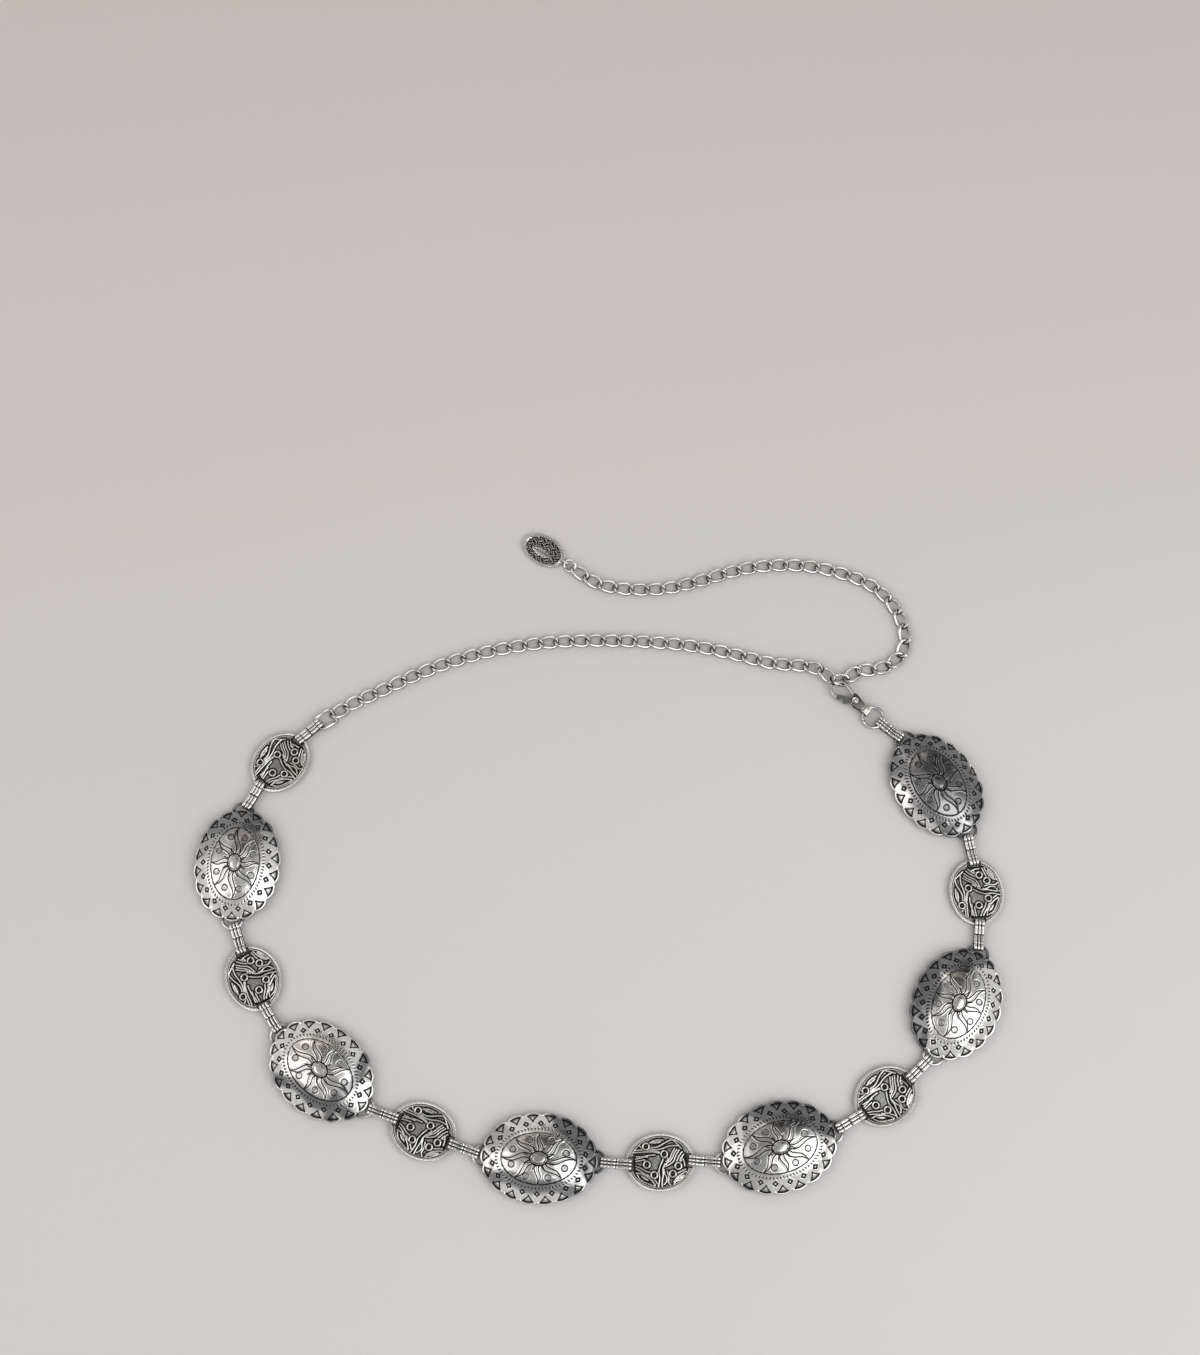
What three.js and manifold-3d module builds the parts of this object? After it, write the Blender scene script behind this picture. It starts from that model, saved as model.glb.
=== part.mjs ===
// Chain belt in antique silver, closed in a loop and lying flat.
// Millimetres, +Z up. The origin is under the middle of the loop, on the surface it lies on.

import * as THREE from 'three';
import { mergeVertices } from 'three/addons/utils/BufferGeometryUtils.js';
import Module from 'manifold-3d';

const wasm = await Module();
wasm.setup();

// Conchos: domed oval plates with a scalloped edge, hollow underneath.
const conchoHalfLength = 22.5;
const conchoHalfWidth = 17.25;
const conchoRimHeight = 1.5;
const conchoSkirt = 1.8;
const conchoDomeRise = 6.2;
const conchoWall = 1.1;
const scallopCount = 18;
const scallopDepth = 1.0;
const buttonHalfLength = 3.2;
const buttonHalfWidth = 2.1;
const buttonRise = 0.35;

// Bails: the half rings soldered under both ends of a concho.
const bailRadius = 3.9;
const bailReach = 25.3;
const bailSeat = 0.3;
const barWire = 1.2;
const barHeight = 1.8;

// Oval relief plates with a milled rim and two slots.
const plateHalfLength = 13.2;
const plateHalfWidth = 10.9;
const plateBase = 1.05;
const plateRimTop = 2.55;
const slotInner = 9.7;
const slotOuter = 12.0;
const slotWidth = 6.2;
const ringBossRadius = 1.5;
const ringBossRise = 0.45;

// Connectors: ribbed straps with an eye at each end.
const connectorLength = 12.6;
const connectorWidth = 3.8;
const connectorHeight = 3.6;
const connectorReach = 8.8;
const eyeLength = 2.5;
const eyeHeight = 2.0;
const eyeWall = 0.65;

// Curb chain.
const linkPitch = 6.5;
const linkWire = 1.2;
const linkHalfWidth = 2.25;
const linkTwist = 0.85;
const linkSlack = 0.13;
const linkFloor = 1.46;
const linkSteps = 10;
const wireSides = 5;
const firstLinkHalfWidth = 3.0;
const firstLinkHeight = 1.8;

// Clasp, drawn with its origin on the rivet and its nose along +X.
const claspHeight = 2.35;
const claspHalfThick = 1.5;
const clawHalfThick = 0.5;
const clawCentre = new THREE.Vector2(7.5, 0.2);
const clawOuter = 4.0;
const clawInner = 2.9;
const cheekGap = 0.95;
const leverHalfThick = 0.65;
const rivetRadius = 0.55;
const rivetHeadRadius = 1.4;
const leverBore = 0.85;
const claspEyeBack = 5.8;
const claspEyeRadius = 1.95;
const claspEyeWidth = 3.4;

// Rings and tag.
const ringRadius = 4.2;
const ringWire = 1.3;
const ringHeight = 1.85;
const tagRingRadius = 2.4;
const tagRingWire = 1.0;
const tagRingTilt = -29;
const tagRingHeight = 1.7;
const tagHalfLength = 9.75;
const tagHalfWidth = 6.3;
const tagThick = 1.5;
const tagEyeRadius = 1.35;
const tagEyeWire = 0.8;

// The belt is laid out from the first plate, piece by piece along the loop.
// turn is the heading of a piece, linkTurn that of the connector after it, in degrees.
// flipped plates were threaded on the other way round.
const beltStart = new THREE.Vector2(-129.2, 37.7);
const beltRun = [
  { piece: 'plate_1', turn: -129, linkTurn: -118.5, flipped: true },
  { piece: 'concho_1', turn: -93, linkTurn: -71 },
  { piece: 'plate_2', turn: -65.5, linkTurn: -57.5, flipped: true },
  { piece: 'concho_2', turn: -39.5, linkTurn: -19.5 },
  { piece: 'plate_3', turn: -23.5, linkTurn: -19.5 },
  { piece: 'concho_3', turn: -3, linkTurn: -4.5 },
  { piece: 'plate_4', turn: 3.5, linkTurn: -4.5 },
  { piece: 'concho_4', turn: 15.5, linkTurn: 30 },
  { piece: 'plate_5', turn: 35.5, linkTurn: 43.5 },
  { piece: 'concho_5', turn: 63.5, linkTurn: 84 },
  { piece: 'plate_6', turn: 92.5, linkTurn: 100.5 },
  { piece: 'concho_6', turn: 122, linkTurn: 141 },
];
const firstConnectorTurn = 41;
const claspTurn = 138;

// The chain's route on the surface, beyond the first connector and beyond the clasp.
const closedRoute = [
  { x: -101.3, y: 62.0 },
  { x: -89.6, y: 67.5 },
  { x: -73.8, y: 75.1 },
  { x: -57.5, y: 81.1 },
  { x: -41.1, y: 85.3 },
  { x: -20.0, y: 88.3 },
  { x: 0.8, y: 89.0 },
  { x: 20.0, y: 88.4 },
  { x: 41.2, y: 86.2 },
  { x: 57.5, y: 82.6 },
  { x: 72.0, y: 79.0 },
];
const tailRoute = [
  { x: 114.0, y: 76.6 },
  { x: 121.0, y: 80.0 },
  { x: 125.1, y: 85.0 },
  { x: 125.8, y: 91.0 },
  { x: 124.5, y: 97.3 },
  { x: 122.0, y: 103.0 },
  { x: 118.4, y: 108.0 },
  { x: 113.0, y: 112.6 },
  { x: 107.0, y: 115.7 },
  { x: 94.5, y: 119.7 },
  { x: 83.3, y: 121.5 },
  { x: 67.6, y: 121.2 },
  { x: 54.4, y: 118.7 },
  { x: 41.6, y: 114.7 },
  { x: 28.6, y: 111.6 },
  { x: 16.1, y: 110.9 },
  { x: 3.5, y: 112.2 },
  { x: -2.6, y: 114.2 },
  { x: -7.4, y: 117.6 },
  { x: -11.0, y: 120.2 },
];
const tagRingTurn = 145;
const tagTurn = 148;

const silver = { color: 0xb9b7b3, roughness: 0.28, metalness: 1.0, flatShading: true };
const darkSilver = { color: 0x8d8b88, roughness: 0.36, metalness: 1.0, flatShading: true };

// Turns a closed three.js geometry into a solid that can be joined and cut.
function solidFrom(geometry) {
  const bare = geometry.clone();
  bare.deleteAttribute('normal');
  bare.deleteAttribute('uv');
  const merged = mergeVertices(bare, 1e-4);
  const index = merged.index.array;
  const triangles = [];
  for (let i = 0; i < index.length; i += 3) {
    const [a, b, c] = [index[i], index[i + 1], index[i + 2]];
    if (a !== b && b !== c && c !== a) triangles.push(a, b, c);
  }
  return new wasm.Manifold(new wasm.Mesh({
    numProp: 3,
    vertProperties: new Float32Array(merged.attributes.position.array),
    triVerts: new Uint32Array(triangles),
  }));
}

function meshFrom(name, solid, look) {
  const data = solid.getMesh();
  const geometry = new THREE.BufferGeometry();
  geometry.setAttribute('position', new THREE.Float32BufferAttribute(data.vertProperties, 3));
  geometry.setIndex(new THREE.Uint32BufferAttribute(data.triVerts, 1));
  geometry.computeVertexNormals();
  const mesh = new THREE.Mesh(geometry, new THREE.MeshStandardMaterial(look));
  mesh.name = name;
  return mesh;
}

function degrees(angle) {
  return THREE.MathUtils.degToRad(angle);
}

function heading(angle) {
  return new THREE.Vector2(Math.cos(degrees(angle)), Math.sin(degrees(angle)));
}

// A shape of the XY plane raised from one height to another.
function slab(points, from, to, holes = []) {
  const shape = new THREE.Shape(points);
  for (const hole of holes) shape.holes.push(new THREE.Path(hole));
  const geometry = new THREE.ExtrudeGeometry(shape, { depth: to - from, bevelEnabled: false });
  geometry.translate(0, 0, from);
  return solidFrom(geometry);
}

// A side view drawn in XZ, given its width along Y.
function strap(points, width, holes = []) {
  const shape = new THREE.Shape(points);
  for (const hole of holes) shape.holes.push(new THREE.Path(hole));
  const geometry = new THREE.ExtrudeGeometry(shape, { depth: width, bevelEnabled: false });
  geometry.translate(0, 0, -width / 2);
  geometry.rotateX(Math.PI / 2);
  return solidFrom(geometry);
}

// An oval body turned from a profile of [share of the half axes, height] points.
function ovalTurning(profile, segments, halfLength, halfWidth) {
  const points = profile.map(([share, height]) => new THREE.Vector2(share, height));
  const geometry = new THREE.LatheGeometry(points, segments);
  geometry.rotateX(Math.PI / 2);
  geometry.scale(halfLength, halfWidth, 1);
  return solidFrom(geometry);
}

function ovalPoints(halfLength, halfWidth, count) {
  const points = [];
  for (let i = 0; i < count; i += 1) {
    const angle = (i / count) * 2 * Math.PI;
    points.push(new THREE.Vector2(halfLength * Math.cos(angle), halfWidth * Math.sin(angle)));
  }
  return points;
}

function arcPoints(centre, radius, fromAngle, toAngle, steps) {
  const points = [];
  for (let i = 0; i <= steps; i += 1) {
    const direction = heading(fromAngle + ((toAngle - fromAngle) * i) / steps);
    points.push(direction.multiplyScalar(radius).add(centre));
  }
  return points;
}

// Scallops of even length round the oval: the spacing is stretched a little at its ends.
function scallopOutline() {
  const points = [];
  const shoulder = 0.2;
  const evenness = 0.05;
  for (let i = 0; i < scallopCount; i += 1) {
    for (const offset of [-0.5, -shoulder, shoulder]) {
      const along = ((i + offset) / scallopCount) * 2 * Math.PI;
      const angle = along + evenness * Math.sin(2 * along);
      const inset = offset === -0.5 ? scallopDepth : 0;
      points.push(new THREE.Vector2(
        (conchoHalfLength - inset) * Math.cos(angle),
        (conchoHalfWidth - inset) * Math.sin(angle),
      ));
    }
  }
  return points;
}

function bail() {
  const centre = new THREE.Vector2(bailReach - bailRadius, 0);
  const legEnd = bailReach - bailRadius - 1;
  const outer = bailRadius + barWire / 2;
  const inner = bailRadius - barWire / 2;
  const points = [
    new THREE.Vector2(legEnd, -outer),
    ...arcPoints(centre, outer, -90, 90, 4),
    new THREE.Vector2(legEnd, outer),
    new THREE.Vector2(legEnd, inner),
    ...arcPoints(centre, inner, 90, -90, 4),
    new THREE.Vector2(legEnd, -inner),
  ];
  return slab(points, barHeight - barWire / 2, barHeight + barWire / 2);
}

function conchoSolid() {
  const foot = conchoRimHeight;
  const brim = foot + conchoSkirt;
  const top = brim + conchoDomeRise;
  const domeShare = 0.9;
  const shoulder = brim + conchoDomeRise * 0.6;
  const crown = brim + conchoDomeRise * 0.9;
  const blank = slab(scallopOutline(), foot, brim);
  const dome = ovalTurning([
    [0, foot + 0.4],
    [domeShare, foot + 0.4],
    [domeShare, brim + 0.4],
    [0.66, shoulder],
    [0.34, crown],
    [0, top],
  ], 16, conchoHalfLength, conchoHalfWidth);
  const hollow = ovalTurning([
    [0, foot - 1],
    [domeShare - 0.02, foot - 1],
    [domeShare - 0.02, foot + 0.8],
    [0.62, shoulder - 1.2 * conchoWall],
    [0, top - 1.3 * conchoWall],
  ], 8, conchoHalfLength, conchoHalfWidth);
  const button = slab(ovalPoints(buttonHalfLength, buttonHalfWidth, 8), top - 0.6, top + buttonRise);
  const endBail = bail();
  return blank
    .add(dome)
    .add(button)
    .subtract(hollow)
    .add(endBail)
    .add(endBail.rotate([0, 0, 180]));
}

// Ring bosses of the relief, as shares of the half axes.
const ringBosses = [
  { along: -0.39, across: 0.56 },
  { along: 0.13, across: 0.27 },
  { along: -0.38, across: -0.06 },
  { along: -0.19, across: -0.42 },
  { along: 0.52, across: -0.14 },
  { along: 0.35, across: -0.4 },
];

function plateSolid() {
  const recess = plateRimTop - 0.7;
  let plate = ovalTurning([
    [0, plateBase],
    [1, plateBase],
    [1, plateRimTop - 0.3],
    [0.95, plateRimTop],
    [0.88, recess],
    [0, recess],
  ], 16, plateHalfLength, plateHalfWidth);
  for (const { along, across } of ringBosses) {
    const boss = slab(ovalPoints(ringBossRadius, ringBossRadius, 6), plateBase + 0.2, recess + ringBossRise);
    plate = plate.add(boss.translate([along * plateHalfLength, across * plateHalfWidth, 0]));
  }
  const half = slotWidth / 2;
  const slot = slab([
    new THREE.Vector2(slotInner, -half),
    new THREE.Vector2(slotOuter, -half),
    new THREE.Vector2(slotOuter, half),
    new THREE.Vector2(slotInner, half),
  ], 0, plateRimTop + 1);
  return plate.subtract(slot).subtract(slot.rotate([0, 0, 180]));
}

function connectorSolid() {
  const half = connectorLength / 2;
  const middle = connectorHeight / 2;
  // Half of the upper outline, from the tip of an eye to the seam in the middle.
  const upper = [
    { fromTip: 0, rise: 1.0 },
    { fromTip: 0.8, rise: 1.8 },
    { fromTip: 2.5, rise: 1.8 },
    { fromTip: 3.7, rise: 1.25 },
    { fromTip: half - 0.25, rise: 1.2 },
  ];
  const seamRise = 0.95;
  const right = upper.map(({ fromTip, rise }) => new THREE.Vector2(half - fromTip, rise));
  const top = [
    ...right,
    new THREE.Vector2(0, seamRise),
    ...right.map((p) => new THREE.Vector2(-p.x, p.y)).reverse(),
  ];
  const foot = right.slice(0, 2);
  const bottom = [
    ...foot.map((p) => new THREE.Vector2(-p.x, -p.y)),
    ...foot.map((p) => new THREE.Vector2(p.x, -p.y)).reverse(),
  ];
  const outline = [...top, ...bottom].map((p) => new THREE.Vector2(p.x, p.y + middle));
  const eye = (side) => {
    const centre = half - eyeWall - eyeLength / 2;
    return [
      [eyeLength / 2, 0.85],
      [0.6, eyeHeight / 2],
      [-0.5, eyeHeight / 2],
      [-eyeLength / 2, 0.4],
      [-eyeLength / 2, -0.4],
      [-0.5, -eyeHeight / 2],
      [0.6, -eyeHeight / 2],
      [eyeLength / 2, -0.85],
    ].map(([x, z]) => new THREE.Vector2(side * (centre + x), z + middle));
  };
  return strap(outline, connectorWidth, [eye(1), eye(-1)]);
}

// One curb link, drawn along X between two joints of the chain.
// squareness above 2 squares its outline, and a link that is flatStart is untwisted at its start.
function linkGeometry({ pitch, halfWidth = linkHalfWidth, squareness = 2, flatStart = false }) {
  const halfLength = (pitch + linkWire + linkSlack) / 2;
  const stem = 10;
  const geometry = new THREE.TorusGeometry(stem, linkWire / 2, wireSides, linkSteps);
  const position = geometry.attributes.position;
  const up = new THREE.Vector3(0, 0, 1);
  const phase = Math.PI / linkSteps;
  const bend = (value) => Math.sign(value) * Math.abs(value) ** (2 / squareness);
  const centreAt = (angle) => new THREE.Vector3(
    halfLength * bend(Math.cos(angle)),
    halfWidth * bend(Math.sin(angle)),
    flatStart && Math.cos(angle) < 0 ? 0 : linkTwist * Math.sin(2 * angle),
  );
  for (let i = 0; i < position.count; i += 1) {
    const x = position.getX(i);
    const y = position.getY(i);
    const angle = Math.atan2(y, x) + phase;
    const inward = stem - Math.hypot(x, y);
    const step = 0.05;
    const tangent = centreAt(angle + step).sub(centreAt(angle - step)).normalize();
    const side = new THREE.Vector3().crossVectors(tangent, up).normalize();
    const rise = new THREE.Vector3().crossVectors(side, tangent);
    const point = centreAt(angle)
      .addScaledVector(side, inward)
      .addScaledVector(rise, -position.getZ(i));
    position.setXYZ(i, point.x, point.y, point.z);
  }
  return geometry;
}

// Links one after another, each between two neighbouring joints; the first may have its own form.
function chainSolid(joints, firstLink = {}) {
  let chain = null;
  for (let i = 0; i < joints.length - 1; i += 1) {
    const along = new THREE.Vector3().subVectors(joints[i + 1], joints[i]);
    const middle = new THREE.Vector3().addVectors(joints[i], joints[i + 1]).multiplyScalar(0.5);
    const geometry = linkGeometry({ pitch: along.length(), ...(i === 0 ? firstLink : {}) });
    geometry.rotateY(-Math.atan2(along.z, Math.hypot(along.x, along.y)));
    geometry.rotateZ(Math.atan2(along.y, along.x));
    geometry.translate(middle.x, middle.y, middle.z);
    const link = solidFrom(geometry);
    chain = chain ? chain.add(link) : link;
  }
  return chain;
}

// Evenly spaced joints, one link pitch apart, from start to end by way of a route.
function jointsAlong(start, route, end) {
  const onFloor = route.map(({ x, y }) => new THREE.Vector3(x, y, linkFloor));
  const curve = new THREE.CatmullRomCurve3([...start, ...onFloor, ...end], false, 'centripetal');
  curve.arcLengthDivisions = 2000;
  return curve.getSpacedPoints(Math.round(curve.getLength() / linkPitch));
}

// The clasp, seen from above with its nose along +X; the window is inside the claw.
function claspBodySolid() {
  const block = slab([
    new THREE.Vector2(-4.6, -1.5),
    new THREE.Vector2(-1.5, -2.1),
    new THREE.Vector2(1.4, -2.7),
    new THREE.Vector2(2.6, -1.9),
    new THREE.Vector2(1.8, 0.4),
    new THREE.Vector2(0.8, 2.2),
    new THREE.Vector2(-1.5, 2.1),
    new THREE.Vector2(-4.6, 1.5),
  ], claspHeight - claspHalfThick, claspHeight + claspHalfThick);
  const claw = slab([
    new THREE.Vector2(0.8, -2.55),
    ...arcPoints(clawCentre, clawOuter, -112, 101, 10),
    ...arcPoints(clawCentre, clawInner, 93, -118, 9),
    new THREE.Vector2(2.2, -1.2),
  ], claspHeight - clawHalfThick, claspHeight + clawHalfThick);
  const cheekSlot = slab([
    new THREE.Vector2(-1.4, -1.4),
    new THREE.Vector2(0, -1.9),
    new THREE.Vector2(3, -1.1),
    new THREE.Vector2(3, 3),
    new THREE.Vector2(-1.9, 3),
    new THREE.Vector2(-1.9, 0),
  ], claspHeight - cheekGap, claspHeight + cheekGap);
  const pin = slab(
    ovalPoints(rivetRadius, rivetRadius, 8),
    claspHeight - claspHalfThick + 0.1,
    claspHeight + claspHalfThick - 0.1,
  );
  const headRise = 0.35;
  const head = slab(
    ovalPoints(rivetHeadRadius, rivetHeadRadius, 10),
    claspHeight + claspHalfThick - 0.1,
    claspHeight + claspHalfThick + headRise,
    [ovalPoints(rivetRadius, rivetRadius, 8)],
  );
  const ridges = [];
  const ridgeCount = 7;
  const ridgeDepth = 0.22;
  for (let i = 0; i < 2 * ridgeCount; i += 1) {
    const radius = claspEyeRadius - (i % 2) * ridgeDepth;
    const point = heading((i * 180) / ridgeCount).multiplyScalar(radius);
    ridges.push(point.add(new THREE.Vector2(-claspEyeBack, claspEyeRadius)));
  }
  const eyeHole = ovalPoints(eyeLength / 2, eyeHeight / 2, 8)
    .map((p) => p.add(new THREE.Vector2(-claspEyeBack - 0.15, claspEyeRadius)));
  const eye = strap(ridges, claspEyeWidth, [eyeHole]);
  return block.add(claw).subtract(cheekSlot).add(pin).add(head).add(eye);
}

function claspLeverSolid() {
  const outline = slab([
    new THREE.Vector2(0.4, -0.9),
    new THREE.Vector2(3.0, 0.5),
    new THREE.Vector2(5.6, 1.7),
    new THREE.Vector2(7.05, 2.7),
    new THREE.Vector2(6.6, 3.75),
    new THREE.Vector2(6.05, 4.55),
    new THREE.Vector2(5.5, 4.4),
    new THREE.Vector2(5.1, 3.4),
    new THREE.Vector2(3.7, 3.0),
    new THREE.Vector2(3.1, 3.9),
    new THREE.Vector2(2.3, 4.0),
    new THREE.Vector2(1.8, 2.9),
    new THREE.Vector2(0, 1.35),
  ], claspHeight - leverHalfThick, claspHeight + leverHalfThick);
  const discRadius = 1.4;
  const disc = slab(
    ovalPoints(discRadius, discRadius, 12),
    claspHeight - leverHalfThick,
    claspHeight + leverHalfThick,
  );
  const bore = slab(ovalPoints(leverBore, leverBore, 10), 0, 2 * claspHeight);
  return outline.add(disc).subtract(bore);
}

function tagSolid() {
  const rimTop = tagThick + 0.2;
  const recess = tagThick - 0.4;
  const body = ovalTurning([
    [0, 0],
    [1, 0],
    [1, rimTop - 0.3],
    [0.93, rimTop],
    [0.84, recess],
    [0, recess],
  ], 16, tagHalfLength, tagHalfWidth);
  const leafLength = 5.2;
  const leafWidth = 1.7;
  const leaf = slab([
    new THREE.Vector2(-leafLength, 0),
    new THREE.Vector2(-leafLength / 2, -leafWidth),
    new THREE.Vector2(leafLength / 2, -leafWidth),
    new THREE.Vector2(leafLength, 0),
    new THREE.Vector2(leafLength / 2, leafWidth),
    new THREE.Vector2(-leafLength / 2, leafWidth),
  ], recess - 0.3, tagThick).translate([0, 1.2, 0]);
  const eye = ringSolid(tagEyeRadius, tagEyeWire, 6, 10)
    .rotate([90, 0, 0])
    .translate([-tagHalfLength - tagEyeRadius + 0.5, 0, tagEyeRadius + tagEyeWire / 2]);
  return body.add(leaf).add(eye);
}

function ringSolid(radius, wire, sides, steps) {
  return solidFrom(new THREE.TorusGeometry(radius, wire / 2, sides, steps));
}

const belt = new THREE.Group();

function place(name, solid, look, { x = 0, y = 0, z = 0, turn = 0 } = {}) {
  const mesh = meshFrom(name, solid, look);
  mesh.position.set(x, y, z);
  mesh.rotation.z = degrees(turn);
  belt.add(mesh);
}

// The walk along the belt: out of one piece, along the connector, into the next.
const concho = conchoSolid();
const plate = plateSolid();
const connector = connectorSolid();
const plateReach = (slotOuter + plateHalfLength) / 2;

function reachOf(row, linkTurn) {
  if (row.piece.startsWith('plate')) return heading(row.turn).multiplyScalar(plateReach);
  return heading(row.turn).multiplyScalar(bailReach - bailRadius)
    .add(heading(linkTurn).multiplyScalar(bailRadius - bailSeat));
}

function placeConnector(number, from, turn) {
  const centre = from.clone().addScaledVector(heading(turn), connectorReach / 2);
  place(`connector_${number}`, connector, silver, { x: centre.x, y: centre.y, turn });
  return from.clone().addScaledVector(heading(turn), connectorReach);
}

const firstJoint = beltStart.clone().addScaledVector(heading(beltRun[0].turn), -plateReach);
const chainStart = placeConnector(1, firstJoint, firstConnectorTurn);
let joint = firstJoint;
let arriving = beltRun[0].turn;
beltRun.forEach((row, index) => {
  const { x, y } = joint.clone().add(reachOf(row, arriving));
  const isPlate = row.piece.startsWith('plate');
  const turn = row.flipped ? row.turn + 180 : row.turn;
  place(row.piece, isPlate ? plate : concho, isPlate ? darkSilver : silver, { x, y, turn });
  const leaving = new THREE.Vector2(x, y).add(reachOf(row, row.linkTurn));
  joint = placeConnector(index + 2, leaving, row.linkTurn);
  arriving = row.linkTurn;
});

// The ring hangs in the last connector, and the clasp's eye round the ring.
const lastTurn = beltRun[beltRun.length - 1].linkTurn;
const ringCentre = joint.clone().addScaledVector(heading(lastTurn), ringRadius - bailSeat);
place('clasp_ring', ringSolid(ringRadius, ringWire, 6, 14), silver, {
  x: ringCentre.x, y: ringCentre.y, z: ringHeight,
});
const rivet = ringCentre.clone().addScaledVector(heading(claspTurn), ringRadius + claspEyeBack);
const onRivet = { x: rivet.x, y: rivet.y, turn: claspTurn };
place('clasp_body', claspBodySolid(), silver, onRivet);
place('clasp_lever', claspLeverSolid(), silver, onRivet);

// The held link leans across the claw: over it at one side of the window and under it at the other.
const window = clawCentre.clone().rotateAround(new THREE.Vector2(), degrees(claspTurn)).add(rivet);
const held = { along: 0.25, across: 4.05, height: 2.52, lean: 1.2, turn: 5 };
const heldHalf = Math.sqrt(linkPitch ** 2 / 4 - held.lean ** 2);
const heldMiddle = window.clone()
  .addScaledVector(heading(held.turn), held.along)
  .addScaledVector(heading(held.turn + 90), held.across);

function heldJoint(side) {
  const { x, y } = heldMiddle.clone().addScaledVector(heading(held.turn), side * heldHalf);
  return new THREE.Vector3(x, y, held.height - side * held.lean);
}

// The joint one link further on from a joint, at a new height.
function nextJoint(from, turn, height) {
  const flat = heading(turn).multiplyScalar(linkPitch);
  return new THREE.Vector3(from.x + flat.x, from.y + flat.y, height);
}

const heldStart = heldJoint(-1);
const heldEnd = heldJoint(1);
const comingDown = nextJoint(heldStart, 135, heldStart.z - 0.9);

const firstLinkTurn = 36;
const wireReach = (linkWire + linkSlack) / 2;
const chainFoot = new THREE.Vector3(
  chainStart.x + wireReach * Math.cos(degrees(firstLinkTurn)),
  chainStart.y + wireReach * Math.sin(degrees(firstLinkTurn)),
  firstLinkHeight,
);
const closedJoints = [
  ...jointsAlong([chainFoot], closedRoute, [nextJoint(comingDown, 162, linkFloor), comingDown]),
  heldStart,
];
place('waist_chain', chainSolid([...closedJoints, heldEnd], {
  halfWidth: firstLinkHalfWidth, squareness: 4, flatStart: true,
}), silver);

// The tail begins loosely in the held link, so the two chains meet and do not fuse.
const tailSlack = 0.3;
const tailStart = nextJoint(heldEnd, 42, linkFloor);
const tailJoints = [
  heldEnd.clone().lerp(heldStart, tailSlack / linkPitch),
  ...jointsAlong([tailStart], tailRoute, []),
];
place('tail_chain', chainSolid(tailJoints), silver);

// The tag's jump ring leans in the last link, and the tag's eye stands round it.
const tailEnd = tailJoints[tailJoints.length - 1];
const tagRingCentre = new THREE.Vector2(tailEnd.x, tailEnd.y)
  .addScaledVector(heading(tagRingTurn), tagRingRadius - 0.6);
place(
  'tag_ring',
  ringSolid(tagRingRadius, tagRingWire, 6, 12).rotate([tagRingTilt, 0, 0]),
  silver,
  { x: tagRingCentre.x, y: tagRingCentre.y, z: tagRingHeight, turn: tagRingTurn },
);
const tagCentre = tagRingCentre.clone()
  .addScaledVector(heading(tagTurn), tagRingRadius + tagHalfLength + tagEyeRadius - 0.5);
place('tag', tagSolid(), darkSilver, { x: tagCentre.x, y: tagCentre.y, turn: tagTurn });

// The loop's middle comes over the origin.
const middle = new THREE.Box3().setFromObject(belt, true).getCenter(new THREE.Vector3());
belt.position.set(-middle.x, -middle.y, 0);

export default belt;
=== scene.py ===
# Chain belt in antique silver, lying closed in a loop on a pale table.
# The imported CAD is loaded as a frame, and finer pieces are modelled around it.
import math
import bpy
import numpy as np
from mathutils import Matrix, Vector


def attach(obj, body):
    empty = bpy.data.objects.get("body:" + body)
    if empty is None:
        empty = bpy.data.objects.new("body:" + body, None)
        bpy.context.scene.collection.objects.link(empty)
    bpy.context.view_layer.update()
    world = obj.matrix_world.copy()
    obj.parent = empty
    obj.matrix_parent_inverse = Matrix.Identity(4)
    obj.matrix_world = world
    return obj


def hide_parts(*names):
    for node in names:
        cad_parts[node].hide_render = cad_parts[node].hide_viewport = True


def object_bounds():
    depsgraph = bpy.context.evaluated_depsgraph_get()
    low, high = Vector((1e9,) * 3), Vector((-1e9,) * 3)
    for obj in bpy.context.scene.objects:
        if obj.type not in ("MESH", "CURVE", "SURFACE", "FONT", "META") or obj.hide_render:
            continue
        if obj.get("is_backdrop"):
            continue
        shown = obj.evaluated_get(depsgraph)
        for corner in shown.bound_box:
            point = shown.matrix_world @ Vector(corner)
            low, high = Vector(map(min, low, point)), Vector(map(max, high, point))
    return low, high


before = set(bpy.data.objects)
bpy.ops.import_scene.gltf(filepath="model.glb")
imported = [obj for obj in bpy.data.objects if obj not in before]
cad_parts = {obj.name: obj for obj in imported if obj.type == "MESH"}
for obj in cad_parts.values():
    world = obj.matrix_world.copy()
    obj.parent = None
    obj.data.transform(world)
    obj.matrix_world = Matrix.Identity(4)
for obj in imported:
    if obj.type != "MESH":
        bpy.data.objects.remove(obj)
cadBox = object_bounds()
mm = 0.001  # all the sizes below are millimetres
print("frame loaded:", len(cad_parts), "nodes")


def clearSelection():
    if bpy.context.object and bpy.context.object.mode != "OBJECT":
        bpy.ops.object.mode_set(mode="OBJECT")
    bpy.ops.object.select_all(action="DESELECT")


def pick(*pieces):
    clearSelection()
    for piece in pieces:
        piece.select_set(True)
    bpy.context.view_layer.objects.active = pieces[0]


def openMesh():
    bpy.ops.object.mode_set(mode="EDIT")
    bpy.ops.mesh.select_all(action="SELECT")


def closeMesh():
    bpy.ops.object.mode_set(mode="OBJECT")


def openAt(piece, chosen):
    # edit mode with only these vertices selected
    openMesh()
    bpy.ops.mesh.select_all(action="DESELECT")
    closeMesh()
    piece.data.vertices.foreach_set("select", np.asarray(chosen, bool))
    bpy.ops.object.mode_set(mode="EDIT")
    bpy.ops.mesh.select_mode(type="VERT")


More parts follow.
